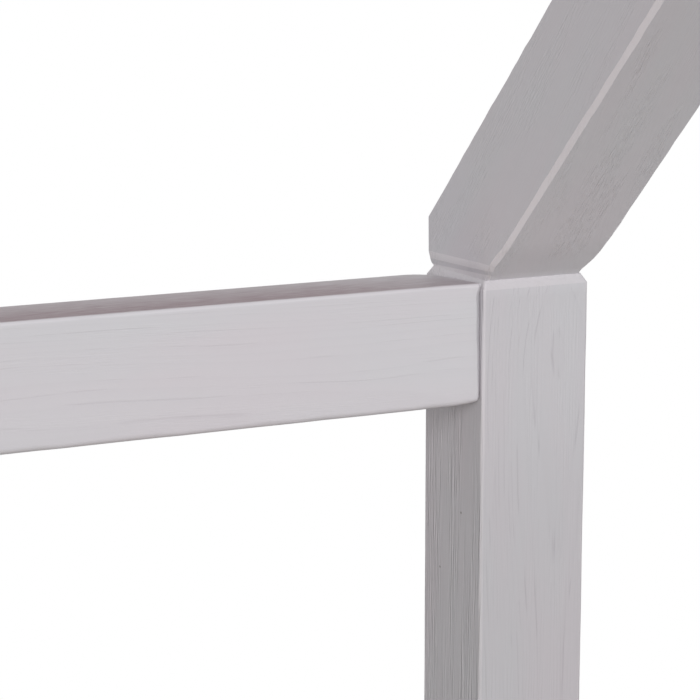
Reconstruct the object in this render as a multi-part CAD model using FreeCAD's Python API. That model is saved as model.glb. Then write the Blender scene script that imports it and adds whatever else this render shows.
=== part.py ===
import FreeCAD
import Part
import math
import os

# House frame bed in planed pine: four corner posts, a rail under each eave, a pair of rafters at
# each gable and a ridge beam draw the outline of a house round a low slatted bed.
#
# Millimetres. The origin is on the floor under the middle of the bed, +X runs along the mattress,
# +Y to the back and +Z up. Right is +X and back is +Y. The bed is symmetric about both upright
# middle planes, so each joint is described once, at the back right post, and mirrored.

# ---- Mattress ----
mattress_length = 2000.0
mattress_width = 900.0
mattress_play = 10.0            # free space left on each side of the mattress

# ---- Timber sections ----
post_size = 70.0                # square posts
rail_thickness = 47.0           # eave rails, side rails, end rails and ridge beam
rail_height = 71.0
rafter_width = 70.0             # along X
rafter_depth = 71.0             # square to the slope
ledger_thickness = 27.0
ledger_height = 40.0
slat_width = 70.0
slat_thickness = 20.0

# ---- Heights and roof ----
post_top = 1150.0               # top of the posts above the floor
side_rail_bottom = 150.0        # free height under the bed
eave_drop = 0.5                 # eave rail's top below the post's top
roof_pitch = math.radians(44.0)
foot_lead = 1.4                 # rafter's underside starts this far inside the post's inner face
tail_inset = 3.0                # rafter's plumb cut stands this far in from the post's outer face
ridge_sink = 1.0                # ridge beam's top corners below the slope of the rafters

# ---- Edges ----
post_edge_radius = 1.8
post_top_bevel_in = 4.2         # bevel round the post's top, measured across the top
post_top_bevel_down = 5.0       # and down the face
rail_edge_radius = 2.5
rafter_edge_bevel = 2.5
ledger_edge_bevel = 1.5
slat_edge_radius = 3.0

# ---- Slatted base ----
slat_count = 16
slat_row_end_gap = 20.0         # end rail to first slat
slat_side_gap = 3.0             # slat's end to side rail
slat_drop = 6.0                 # slats' top below the side rail's top
ledger_end_gap = 5.0
strap_width = 25.0
strap_thickness = 1.2
strap_from_rail = 80.0          # strap's middle to the side rail's inner face
strap_end_margin = 5.0          # strap's end inside the last slat's outer edge
staple_wire = 0.8
staple_crown = 12.0
staple_leg = 9.0

# ---- Glides under the posts ----
glide_radius = 22.0
glide_height = 4.0
glide_edge_bevel = 1.0
glide_pin_radius = 2.5
glide_pin_length = 16.0

# ---- Fasteners ----
head_recess_clearance = 0.75    # round a bolt's head in its counterbore
shank_clearance = 0.25          # round a bolt's shank in wood
thread_clearance = 0.05         # round a bolt's shank in its barrel nut
nut_clearance = 0.1             # round a barrel nut in its cross bore
nut_slot_width = 1.6
nut_slot_depth = 2.0
bore_end_clearance = 2.0        # left beyond the tip of a bolt or screw
nut_from_rail_end = 30.0        # barrel nut's axis behind the end of its rail
dowel_radius = 4.0
dowel_clearance = 0.05
dowel_end_clearance = 1.0
rail_dowel_length = 50.0
foot_dowel_length = 48.0
apex_dowel_length = 50.0
dowel_bevel = 0.8
screw_clearance = 0.05

dowel_from_rail_edge = 11.5     # a rail's dowel from its upper or lower edge
bolt_from_dowel = 13.0          # the dowel from the bolt of the rail that crosses in the same post

counterbore_depth = 5.0         # head recess in the outer faces of posts and rafters
foot_bolt_from_outer = 22.0     # upright bolt of a rafter's foot, from the post's outer face
foot_head_cover = 8.0           # its head below the slope at the counterbore's lower rim
foot_nut_depth = 60.0           # its barrel nut's axis below the post's top
foot_dowel_from_inner = 18.0    # pair of dowels beside it, from the post's inner face
foot_dowel_spacing = 36.0
ridge_bolt_from_side = 10.5     # each ridge bolt from the side of the ridge beam
apex_dowel_below = 13.0         # dowels across the apex, from the ridge bolts
apex_dowel_above = 22.0
ledger_screw_count = 7
ledger_screw_end = 110.0        # first screw from the ledger's end


class BoltSize:
    """Flat-headed hexagon-socket bolt with its barrel nut."""

    def __init__(self, radius, length, head_radius, head_height, socket, nut_radius, nut_length):
        self.radius = radius
        self.length = length
        self.head_radius = head_radius
        self.head_height = head_height
        self.socket = socket            # across flats
        self.nut_radius = nut_radius
        self.nut_length = nut_length


class ScrewSize:
    """Countersunk wood screw."""

    def __init__(self, radius, length, head_radius, socket):
        self.radius = radius
        self.length = length
        self.head_radius = head_radius
        self.socket = socket            # across flats


rail_bolt = BoltSize(4.0, 110.0, 8.5, 2.5, 5.0, 7.0, 20.0)
foot_bolt = BoltSize(4.0, 100.0, 8.5, 2.5, 5.0, 7.0, 20.0)
ridge_bolt = BoltSize(3.0, 105.0, 7.0, 2.0, 4.0, 5.0, 14.0)
ledger_screw = ScrewSize(2.5, 60.0, 5.0, 2.8)
slat_screw = ScrewSize(2.0, 35.0, 4.0, 2.3)

# ---- Lines worked out from the sizes above ----
inner_x = mattress_length / 2 + mattress_play       # inner faces of posts, end rails and rafters
inner_y = mattress_width / 2 + mattress_play        # inner faces of posts, side and eave rails
outer_x = inner_x + post_size
outer_y = inner_y + post_size
rail_mid_x = inner_x + rail_thickness / 2
rail_mid_y = inner_y + rail_thickness / 2
eave_top = post_top - eave_drop
eave_mid_z = eave_top - rail_height / 2
side_mid_z = side_rail_bottom + rail_height / 2
slat_top = side_rail_bottom + rail_height - slat_drop
slat_bottom = slat_top - slat_thickness

rafter_mid_x = inner_x + rafter_width / 2
rafter_outer_x = inner_x + rafter_width
slope = math.tan(roof_pitch)
slope_height = rafter_depth / math.cos(roof_pitch)  # rafter's depth measured straight up
underside_start = inner_y - foot_lead
apex_underside = post_top + underside_start * slope
tail_y = outer_y - tail_inset

# Side and end rails meet in one post, so their bores pass each other at different heights.
dowel_rise = rail_height / 2 - dowel_from_rail_edge
bolt_rise = dowel_rise - bolt_from_dowel

ridge_top = apex_underside + slope_height - rail_thickness / 2 * slope - ridge_sink
ridge_mid_z = ridge_top - rail_height / 2
ridge_bolt_y = rail_thickness / 2 - ridge_bolt_from_side

foot_bolt_y = outer_y - foot_bolt_from_outer
foot_rim_y = foot_bolt_y + foot_bolt.head_radius + head_recess_clearance
foot_seat_rise = ((underside_start - foot_rim_y) * slope + slope_height
                  - foot_head_cover - foot_bolt.head_height)

X = FreeCAD.Vector(1, 0, 0)
Y = FreeCAD.Vector(0, 1, 0)
Z = FreeCAD.Vector(0, 0, 1)
ORIGIN = FreeCAD.Vector(0, 0, 0)


def point(x, y, z):
    return FreeCAD.Vector(x, y, z)


def block(low, high):
    """Box between two corners."""
    size = high - low
    return Part.makeBox(size.x, size.y, size.z, low)


def rod(radius, start, direction, length):
    """Round bar or bore that starts at a point."""
    return Part.makeCylinder(radius, length, start, direction)


def edges_along(shape, direction):
    """Straight edges of a shape that run along a direction."""
    chosen = []
    for edge in shape.Edges:
        run = edge.Vertexes[-1].Point - edge.Vertexes[0].Point
        if run.Length > 0 and abs(run.normalize().dot(direction)) > 0.999:
            chosen.append(edge)
    return chosen


def mirror_x(shape):
    return shape.mirror(ORIGIN, X)


def mirror_y(shape):
    return shape.mirror(ORIGIN, Y)


def in_four_corners(shapes):
    """Shapes of the back right corner, and their copies at the other three."""
    right = shapes + [mirror_y(shape) for shape in shapes]
    return right + [mirror_x(shape) for shape in right]


# ---- Fasteners and the bores that they need ----

def hexagon_prism(across_flats, start, direction, length):
    """Hexagonal prism that starts at a point, for sockets."""
    corner_radius = across_flats / math.sqrt(3)
    corners = []
    for index in range(7):
        turn = math.radians(60.0 * index)
        corners.append(point(corner_radius * math.cos(turn), corner_radius * math.sin(turn), 0))
    prism = Part.Face(Part.makePolygon(corners)).extrude(Z * length)
    prism.Placement = FreeCAD.Placement(start, FreeCAD.Rotation(Z, direction))
    return prism


def make_bolt(size, seat, direction):
    """Bolt whose head rests on the seat and whose shank runs along direction."""
    head = rod(size.head_radius, seat, -direction, size.head_height)
    head = head.makeChamfer(size.head_height / 4, [head.Edges[0], head.Edges[2]])
    shank = rod(size.radius, seat, direction, size.length)
    tip = [edge for edge in shank.Edges if edge.Closed and edge.CenterOfMass.distanceToPoint(seat) > 1]
    shank = shank.makeChamfer(size.radius / 4, tip)
    socket_start = seat - direction * (size.head_height + 1)
    socket = hexagon_prism(size.socket, socket_start, direction, size.head_height + 1 + size.radius / 4)
    return head.fuse(shank).removeSplitter().cut(socket)


def bolt_bore(size, seat, direction, recess):
    """Counterbore for the head and clearance hole for the shank."""
    head_room = rod(size.head_radius + head_recess_clearance, seat, -direction, recess)
    shank_room = rod(size.radius + shank_clearance, seat, direction, size.length + bore_end_clearance)
    return head_room.fuse(shank_room)


def make_barrel_nut(size, centre, outward, bolt_direction):
    """Cross nut: a slotted barrel with the bolt's hole through it."""
    barrel = rod(size.nut_radius, centre - outward * (size.nut_length / 2), outward, size.nut_length)
    thread = rod(size.radius + thread_clearance, centre - bolt_direction * size.nut_radius * 2,
                 bolt_direction, size.nut_radius * 4)
    slot_mouth = centre + outward * (size.nut_length / 2)
    along = outward.cross(bolt_direction)
    half = bolt_direction * size.nut_radius * 1.5 + along * (nut_slot_width / 2)
    slot = block_between(slot_mouth - half - outward * nut_slot_depth, slot_mouth + half + outward)
    return barrel.cut([thread, slot])


def block_between(first, second):
    """Box between two opposite corners in any order."""
    low = point(min(first.x, second.x), min(first.y, second.y), min(first.z, second.z))
    high = point(max(first.x, second.x), max(first.y, second.y), max(first.z, second.z))
    return block(low, high)


def nut_bore(size, centre, outward, surface_distance):
    """Cross bore from the surface to just past the barrel nut."""
    depth = size.nut_length / 2 + nut_clearance
    radius = size.nut_radius + nut_clearance
    return rod(radius, centre - outward * depth, outward, depth + surface_distance + 1)


def make_dowel(middle, direction, length):
    """Hardwood dowel with bevelled ends."""
    dowel = rod(dowel_radius, middle - direction * (length / 2), direction, length)
    return dowel.makeChamfer(dowel_bevel, [edge for edge in dowel.Edges if edge.Closed])


def dowel_bore(middle, direction, length):
    """Bore of a dowel, a little deeper at each end."""
    half = length / 2 + dowel_end_clearance
    return rod(dowel_radius + dowel_clearance, middle - direction * half, direction, half * 2)


def make_screw(size, mouth, direction):
    """Countersunk screw whose head is flush at its mouth."""
    head_height = size.head_radius - size.radius
    head = Part.makeCone(size.head_radius, size.radius, head_height, mouth, direction)
    taper = size.radius * 2
    shank = rod(size.radius, mouth, direction, size.length - taper)
    tip = Part.makeCone(size.radius, size.radius / 6, taper,
                        mouth + direction * (size.length - taper), direction)
    socket = hexagon_prism(size.socket, mouth - direction, direction, 1 + head_height)
    return head.fuse([shank, tip]).removeSplitter().cut(socket)


def screw_bore(size, mouth, direction):
    """Countersink and pilot hole of a screw."""
    head_height = size.head_radius - size.radius
    gap = screw_clearance
    # The cone starts one millimetre outside, so that it opens cleanly at the surface.
    head = Part.makeCone(size.head_radius + 1 + gap, size.radius + gap, head_height + 1,
                         mouth - direction, direction)
    pilot = rod(size.radius + gap, mouth, direction, size.length + bore_end_clearance)
    return head.fuse(pilot)


class Joint:
    """Fasteners of one joint and the bores that they need, at the back right corner."""

    def __init__(self):
        self.bolts = []
        self.nuts = []
        self.dowels = []
        self.bores = []

    def add_bolt(self, size, seat, direction, recess, nut_distance, nut_outward, nut_surface):
        """Bolt with its barrel nut, nut_distance beyond the seat."""
        centre = seat + direction * nut_distance
        self.bolts.append(make_bolt(size, seat, direction))
        self.bores.append(bolt_bore(size, seat, direction, recess))
        self.nuts.append(make_barrel_nut(size, centre, nut_outward, direction))
        self.bores.append(nut_bore(size, centre, nut_outward, nut_surface))

    def add_dowel(self, middle, direction, length):
        self.dowels.append(make_dowel(middle, direction, length))
        self.bores.append(dowel_bore(middle, direction, length))


def lengthwise_rail_joint(bolt_z, dowel_z):
    """Rail that runs along X, bolted through the post from its outer end face."""
    joint = Joint()
    seat = point(outer_x - counterbore_depth, rail_mid_y, bolt_z)
    nut_distance = seat.x - inner_x + nut_from_rail_end
    joint.add_bolt(rail_bolt, seat, -X, counterbore_depth + 1, nut_distance, Y, rail_thickness / 2)
    joint.add_dowel(point(inner_x, rail_mid_y, dowel_z), X, rail_dowel_length)
    return joint


def crosswise_rail_joint():
    """End rail that runs along Y, bolted through the post from its back face."""
    joint = Joint()
    seat = point(rail_mid_x, outer_y - counterbore_depth, side_mid_z - bolt_rise)
    nut_distance = seat.y - inner_y + nut_from_rail_end
    joint.add_bolt(rail_bolt, seat, -Y, counterbore_depth + 1, nut_distance, X, rail_thickness / 2)
    joint.add_dowel(point(rail_mid_x, inner_y, side_mid_z + dowel_rise), Y, rail_dowel_length)
    return joint


def rafter_foot_joint():
    """Upright bolt from the slope down into the post, beside a pair of dowels."""
    joint = Joint()
    seat = point(rafter_mid_x, foot_bolt_y, post_top + foot_seat_rise)
    joint.add_bolt(foot_bolt, seat, -Z, slope_height, foot_seat_rise + foot_nut_depth, Y,
                   foot_bolt_from_outer)
    for side in (-1, 1):
        x = rafter_mid_x + side * foot_dowel_spacing / 2
        joint.add_dowel(point(x, inner_y + foot_dowel_from_inner, post_top), Z, foot_dowel_length)
    return joint


def ridge_joint():
    """Bolt through the back rafter into the end of the ridge beam."""
    joint = Joint()
    seat = point(rafter_outer_x - counterbore_depth, ridge_bolt_y, ridge_mid_z)
    nut_distance = seat.x - inner_x + nut_from_rail_end
    joint.add_bolt(ridge_bolt, seat, -X, counterbore_depth + 1, nut_distance, -Z, rail_height / 2)
    return joint


def apex_joint():
    """Dowels across the plumb joint of the two right rafters."""
    joint = Joint()
    for rise in (-apex_dowel_below, apex_dowel_above):
        joint.add_dowel(point(rafter_mid_x, 0, ridge_mid_z + rise), Y, apex_dowel_length)
    return joint


eave_joint = lengthwise_rail_joint(eave_mid_z, eave_mid_z - dowel_rise)
side_joint = lengthwise_rail_joint(side_mid_z + bolt_rise, side_mid_z - dowel_rise)
end_joint = crosswise_rail_joint()
foot_joint = rafter_foot_joint()
beam_joint = ridge_joint()
peak_joint = apex_joint()


# ---- Timbers ----

def make_glide(centre_x, centre_y):
    """Plastic glide: a bevelled disc with a pin that is knocked into the post."""
    disc = rod(glide_radius, point(centre_x, centre_y, 0), Z, glide_height)
    rim = [edge for edge in disc.Edges if edge.Closed]
    pin = rod(glide_pin_radius, point(centre_x, centre_y, glide_height / 2), Z,
              glide_height / 2 + glide_pin_length)
    return disc.makeChamfer(glide_edge_bevel, rim).fuse(pin)


def glide_bore(centre_x, centre_y):
    return rod(glide_pin_radius + screw_clearance, point(centre_x, centre_y, 0), Z,
               glide_height + glide_pin_length + bore_end_clearance)


post_mid_x = inner_x + post_size / 2
post_mid_y = inner_y + post_size / 2


def make_post():
    """Back right post, standing on its glide, with a bevel round its top."""
    low = point(inner_x, inner_y, glide_height)
    square = block(low, point(outer_x, outer_y, post_top))
    rounded = square.makeFillet(post_edge_radius, edges_along(square, Z))
    bevel_start = post_top - post_top_bevel_down
    shaft = block(low, point(outer_x, outer_y, bevel_start))
    cap = frustum(inner_x, outer_x, inner_y, outer_y, bevel_start, post_top, post_top_bevel_in)
    bores = eave_joint.bores + side_joint.bores + end_joint.bores + foot_joint.bores
    bores.append(glide_bore(post_mid_x, post_mid_y))
    return rounded.common(shaft.fuse(cap)).removeSplitter().cut(bores)


def frustum(low_x, high_x, low_y, high_y, bottom, top, inset):
    """Block that narrows by inset on all four sides from its bottom to its top."""
    sections = []
    for height, margin in ((bottom, 0.0), (top, inset)):
        corners = [point(low_x + margin, low_y + margin, height),
                   point(high_x - margin, low_y + margin, height),
                   point(high_x - margin, high_y - margin, height),
                   point(low_x + margin, high_y - margin, height)]
        sections.append(Part.makePolygon(corners + corners[:1]))
    return Part.makeLoft(sections, True, True)


def make_rail(low, high, joint, mirror):
    """Rail with rounded edges, bored at both ends."""
    rail = block(low, high)
    rail = rail.makeFillet(rail_edge_radius, rail.Edges)
    return rail.cut(joint.bores + [mirror(bore) for bore in joint.bores])


def make_lengthwise_rail(bottom, joint):
    """Back rail along X between the posts, flush with their inner faces."""
    low = point(-inner_x, inner_y, bottom)
    high = point(inner_x, inner_y + rail_thickness, bottom + rail_height)
    return make_rail(low, high, joint, mirror_x)


def make_end_rail():
    """Right end rail along Y between the posts, flush with their inner faces."""
    low = point(inner_x, -inner_y, side_rail_bottom)
    high = point(inner_x + rail_thickness, inner_y, side_rail_bottom + rail_height)
    return make_rail(low, high, end_joint, mirror_y)


def make_rafter():
    """Back right rafter: level foot, plumb cut at its tail and plumb cut at the apex."""
    tail_top = post_top + (underside_start - tail_y) * slope + slope_height
    corners = [point(inner_x, underside_start, post_top),
               point(inner_x, tail_y, post_top),
               point(inner_x, tail_y, tail_top),
               point(inner_x, 0, apex_underside + slope_height),
               point(inner_x, 0, apex_underside)]
    rafter = Part.Face(Part.makePolygon(corners + corners[:1])).extrude(X * rafter_width)
    bevelled = []
    for edge in rafter.Edges:
        ends = [vertex.Point.y for vertex in edge.Vertexes]
        if max(ends) > 1:
            bevelled.append(edge)
    rafter = rafter.makeChamfer(rafter_edge_bevel, bevelled)
    return rafter.cut(foot_joint.bores + beam_joint.bores + peak_joint.bores)


def make_ridge_beam():
    """Ridge beam between the gables, bolted to all four rafters."""
    low = point(-inner_x, -rail_thickness / 2, ridge_top - rail_height)
    high = point(inner_x, rail_thickness / 2, ridge_top)
    beam = block(low, high)
    beam = beam.makeFillet(rail_edge_radius, beam.Edges)
    return beam.cut(in_four_corners(beam_joint.bores))


# ---- Slatted base ----

def ledger_screw_mouths():
    """Mouths of the screws that hold the back ledger to its side rail."""
    reach = inner_x - ledger_end_gap - ledger_screw_end
    step = 2 * reach / (ledger_screw_count - 1)
    z = slat_bottom - ledger_height / 2
    y = inner_y - ledger_thickness
    return [point(-reach + index * step, y, z) for index in range(ledger_screw_count)]


slat_row_half = inner_x - slat_row_end_gap
slat_pitch = (2 * slat_row_half - slat_width) / (slat_count - 1)
slat_middles = [-slat_row_half + slat_width / 2 + index * slat_pitch for index in range(slat_count)]
slat_screw_mouth = point(slat_middles[-1], inner_y - ledger_thickness / 2, slat_top)
strap_mid_y = inner_y - strap_from_rail
strap_bottom = slat_bottom - strap_thickness


def make_ledger():
    """Back ledger strip, screwed to the inside of the side rail."""
    half = inner_x - ledger_end_gap
    low = point(-half, inner_y - ledger_thickness, slat_bottom - ledger_height)
    ledger = block(low, point(half, inner_y, slat_bottom))
    ledger = ledger.makeChamfer(ledger_edge_bevel, edges_along(ledger, X))
    bores = [screw_bore(ledger_screw, mouth, Y) for mouth in ledger_screw_mouths()]
    corner_bore = screw_bore(slat_screw, slat_screw_mouth, -Z)
    return ledger.cut(bores + [corner_bore, mirror_x(corner_bore)])


def make_staple(middle_x, middle_y, clearance=0.0):
    """Wire staple under a strap, with its two legs up in the slat, or the bore that it needs."""
    half_wire = staple_wire / 2 + clearance
    crown_bottom = strap_bottom - staple_wire
    leg_top = crown_bottom + staple_wire + strap_thickness + staple_leg + clearance
    half_crown = staple_crown / 2
    pieces = [block(point(middle_x - half_wire, middle_y - half_crown, crown_bottom),
                    point(middle_x + half_wire, middle_y + half_crown, strap_bottom))]
    for side in (-1, 1):
        leg_y = middle_y + side * (half_crown - staple_wire / 2)
        pieces.append(block(point(middle_x - half_wire, leg_y - half_wire, crown_bottom),
                            point(middle_x + half_wire, leg_y + half_wire, leg_top)))
    return pieces[0].fuse(pieces[1:]).removeSplitter()


def staple_holes(middle_x):
    """Leg holes of the two staples of one slat."""
    back = make_staple(middle_x, strap_mid_y, screw_clearance)
    return [back, mirror_y(back)]


def make_slat(index):
    """One slat with rounded long edges. The two end slats are screwed to the ledgers."""
    middle = slat_middles[index]
    half_length = inner_y - slat_side_gap
    slat = block(point(middle - slat_width / 2, -half_length, slat_bottom),
                 point(middle + slat_width / 2, half_length, slat_top))
    slat = slat.makeFillet(slat_edge_radius, edges_along(slat, Y))
    bores = staple_holes(middle)
    if index in (0, slat_count - 1):
        bores += in_four_corners([screw_bore(slat_screw, slat_screw_mouth, -Z)])
    return slat.cut(bores)


def make_strap():
    """Back webbing strap, flat under all the slats."""
    half = slat_row_half - strap_end_margin
    strap = block(point(-half, strap_mid_y - strap_width / 2, strap_bottom),
                  point(half, strap_mid_y + strap_width / 2, slat_bottom))
    return strap.cut([make_staple(middle, strap_mid_y, screw_clearance) for middle in slat_middles])


# ---- The bed's pieces, each under the name of its node ----

nodes = {}
post = make_post()
rafter = make_rafter()
nodes["post_back_right"] = post
nodes["post_front_right"] = mirror_y(post)
nodes["post_back_left"] = mirror_x(post)
nodes["post_front_left"] = mirror_x(mirror_y(post))
nodes["rafter_back_right"] = rafter
nodes["rafter_front_right"] = mirror_y(rafter)
nodes["rafter_back_left"] = mirror_x(rafter)
nodes["rafter_front_left"] = mirror_x(mirror_y(rafter))
nodes["ridge_beam"] = make_ridge_beam()

eave_rail = make_lengthwise_rail(eave_top - rail_height, eave_joint)
ledger_bores = [screw_bore(ledger_screw, mouth, Y) for mouth in ledger_screw_mouths()]
side_rail = make_lengthwise_rail(side_rail_bottom, side_joint).cut(ledger_bores)
end_rail = make_end_rail()
ledger = make_ledger()
strap = make_strap()
nodes["eave_rail_back"] = eave_rail
nodes["eave_rail_front"] = mirror_y(eave_rail)
nodes["side_rail_back"] = side_rail
nodes["side_rail_front"] = mirror_y(side_rail)
nodes["end_rail_right"] = end_rail
nodes["end_rail_left"] = mirror_x(end_rail)
nodes["ledger_back"] = ledger
nodes["ledger_front"] = mirror_y(ledger)
nodes["slat_strap_back"] = strap
nodes["slat_strap_front"] = mirror_y(strap)

for number in range(slat_count):
    nodes["slat_%02d" % (number + 1)] = make_slat(number)

back_screws = [make_screw(ledger_screw, mouth, Y) for mouth in ledger_screw_mouths()]
back_staples = [make_staple(middle, strap_mid_y) for middle in slat_middles]
rail_joints = (eave_joint, side_joint, end_joint)
groups = {
    "post_glides": in_four_corners([make_glide(post_mid_x, post_mid_y)]),
    "rail_bolts": in_four_corners([bolt for joint in rail_joints for bolt in joint.bolts]),
    "rail_barrel_nuts": in_four_corners([nut for joint in rail_joints for nut in joint.nuts]),
    "rail_dowels": in_four_corners([dowel for joint in rail_joints for dowel in joint.dowels]),
    "rafter_foot_bolts": in_four_corners(foot_joint.bolts),
    "rafter_foot_nuts": in_four_corners(foot_joint.nuts),
    "rafter_foot_dowels": in_four_corners(foot_joint.dowels),
    "ridge_bolts": in_four_corners(beam_joint.bolts),
    "ridge_barrel_nuts": in_four_corners(beam_joint.nuts),
    "apex_dowels": peak_joint.dowels + [mirror_x(dowel) for dowel in peak_joint.dowels],
    "ledger_screws": back_screws + [mirror_y(screw) for screw in back_screws],
    "slat_screws": in_four_corners([make_screw(slat_screw, slat_screw_mouth, -Z)]),
    "strap_staples": back_staples + [mirror_y(staple) for staple in back_staples],
}
for name, pieces in groups.items():
    nodes[name] = Part.makeCompound(pieces)

os.makedirs("parts", exist_ok=True)
for name, shape in nodes.items():
    if not shape.isValid():
        print("not a valid shape:", name)
    shape.exportStep(os.path.join("parts", name + ".step"))
print("%d nodes, ridge at %.1f mm" % (len(nodes), apex_underside + slope_height))
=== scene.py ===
import logging
import math
import random
from dataclasses import dataclass, field
from enum import Enum
from functools import partial
from typing import Any, Callable, Iterable, Optional, Sequence, Union

import bmesh
import bpy
from bmesh.types import BMEdge, BMesh, BMVert
from bpy.types import Material, Mesh, Node, NodeSocket, NodeTree, Object
from mathutils import Matrix, Vector, noise


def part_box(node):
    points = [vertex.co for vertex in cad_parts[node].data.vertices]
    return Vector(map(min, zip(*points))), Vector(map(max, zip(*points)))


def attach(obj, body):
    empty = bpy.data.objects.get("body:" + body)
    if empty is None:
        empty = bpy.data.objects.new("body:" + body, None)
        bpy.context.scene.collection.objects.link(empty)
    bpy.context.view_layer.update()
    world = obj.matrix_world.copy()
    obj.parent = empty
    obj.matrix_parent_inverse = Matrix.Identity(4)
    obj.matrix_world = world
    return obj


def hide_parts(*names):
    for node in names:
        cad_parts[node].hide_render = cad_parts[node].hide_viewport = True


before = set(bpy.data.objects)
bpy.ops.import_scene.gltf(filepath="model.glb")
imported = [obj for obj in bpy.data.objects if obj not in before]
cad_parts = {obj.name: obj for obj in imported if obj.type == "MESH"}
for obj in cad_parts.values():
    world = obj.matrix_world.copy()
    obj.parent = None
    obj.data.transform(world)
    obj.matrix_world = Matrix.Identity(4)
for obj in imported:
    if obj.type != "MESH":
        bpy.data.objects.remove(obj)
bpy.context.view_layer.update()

# Looks of the house frame bed. Metres; the mattress lies along X, the back is +Y and Z is up.
# Every timber is modelled anew over its CAD node, with rounded and hand-sanded edges, its bores and
# a growth-ring figure of its own. Bolts, nuts, screws, staples, dowels and glides keep their CAD
# shape and get a finish here.

log = logging.getLogger("house_frame_bed")

MM = 0.001
NEAR = 0.01 * MM
GRAIN = "grain"                 # attribute: a point's place in its log, along and across the pith
SURFACE = "surface"             # attribute: tone of the glaze, its thinness with painted shade, fibres and ring lines
EDGE_GLAZE_AND_HIGHLIGHT = "edge_glaze_and_highlight"            # attribute: how much built-up glaze and painted highlight a rounded edge gets
NOISE_SPAN = (0.3, 0.7)         # nearly all of a noise texture lies between these
FLAT = 0.985                    # a face this close to square to an axis is no rounded edge
SHARP = math.radians(36)        # angle from which an edge is shaded sharp

Colour = tuple[float, float, float, float]
Size = tuple[float, float]
AddNode = Callable[..., Node]
X, Y, Z = Vector((1, 0, 0)), Vector((0, 1, 0)), Vector((0, 0, 1))


def linear(colour: Union[str, float]) -> Colour:
    """Turns an sRGB hex colour to linear.

    Args:
        colour: six hex digits after a hash sign, or a number, which stands for that linear grey.

    Returns:
        Linear red, green and blue, with an alpha of 1.
    """
    if not isinstance(colour, str):
        return colour, colour, colour, 1.0
    channels = [int(colour[start:start + 2], 16) / 255 for start in (1, 3, 5)]
    red, green, blue = (c / 12.92 if c <= 0.04045 else ((c + 0.055) / 1.055) ** 2.4 for c in channels)
    return red, green, blue, 1.0


def add_node(tree: NodeTree, kind: str, *values: Any, at: Optional[dict[int, Any]] = None,
             stops: Sequence[tuple[float, Union[str, float]]] = (), **named: Any) -> Node:
    """Adds a shader node with its settings and links.

    Args:
        tree: node tree that gets the node.
        kind: the node's type, without its prefix.
        values: for each input from the first, a value, a hex colour, or a socket or node to link.
        at: the same for inputs by number.
        stops: places and colours of a colour ramp.
        named: inputs, which start with a capital and have _ for a space, and other settings.

    Returns:
        The new node.
    """
    node = tree.nodes.new("ShaderNode" + kind)
    inputs = {**dict(enumerate(values)), **(at or {})}
    for name, value in named.items():
        if name[0].isupper():
            inputs[name.replace("_", " ")] = value
        else:
            setattr(node, name, value)
    for index, (place, colour) in enumerate(stops):
        ramp = node.color_ramp.elements
        element = ramp[index] if index < len(ramp) else ramp.new(1.0)
        element.position, element.color = place, linear(colour)
    for name, value in inputs.items():
        if isinstance(value, Node):
            value = next(socket for socket in value.outputs if socket.enabled)
        if isinstance(value, NodeSocket):
            tree.links.new(value, node.inputs[name])
        else:
            node.inputs[name].default_value = linear(value) if isinstance(value, str) else value
    return node


# ---- Finishes ----

@dataclass
class Finish:
    """A material in the making. Each finish is a class of its own, with its sizes in mm."""

    name: str
    material: Material = field(init=False)
    add: AddNode = field(init=False)            # adds a node to the material

    def __post_init__(self) -> None:
        """Makes the material and its nodes."""
        self.material = bpy.data.materials.new(self.name)
        self.material.use_nodes = True
        self.material.node_tree.nodes.clear()
        self.add = partial(add_node, self.material.node_tree)
        self.paint()

    def paint(self) -> None:
        """Adds the finish's nodes."""

    def cover(self, colour: Node, height: Node, depth: float, **sockets: Any) -> None:
        """Adds the shader.

        Args:
            colour: node that gives the colour.
            height: node that gives the height of the relief, from 0 to 1.
            depth: depth of the relief, mm.
            sockets: other inputs of the principled shader.
        """
        bump = self.add("Bump", Distance=depth * MM, Height=height)
        self.add("OutputMaterial", Surface=self.add("BsdfPrincipled", Base_Color=colour,
                                                    Normal=bump, **sockets))


@dataclass(frozen=True)
class Figure:
    """The nodes of a wood figure; each gives a number from about 0 to 1."""

    late: Node            # growth rings, darkening to their latewood
    scratch: Node         # fine dark lines where some of the rings end
    fibre: Node           # raised fibres
    knot: Node
    cloud: Node           # slow change along and across the timber
    relief: Node
    tone: NodeSocket      # how light this timber's glaze is, beside the others
    thin: NodeSocket      # how thin the glaze is, with painted shade


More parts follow.
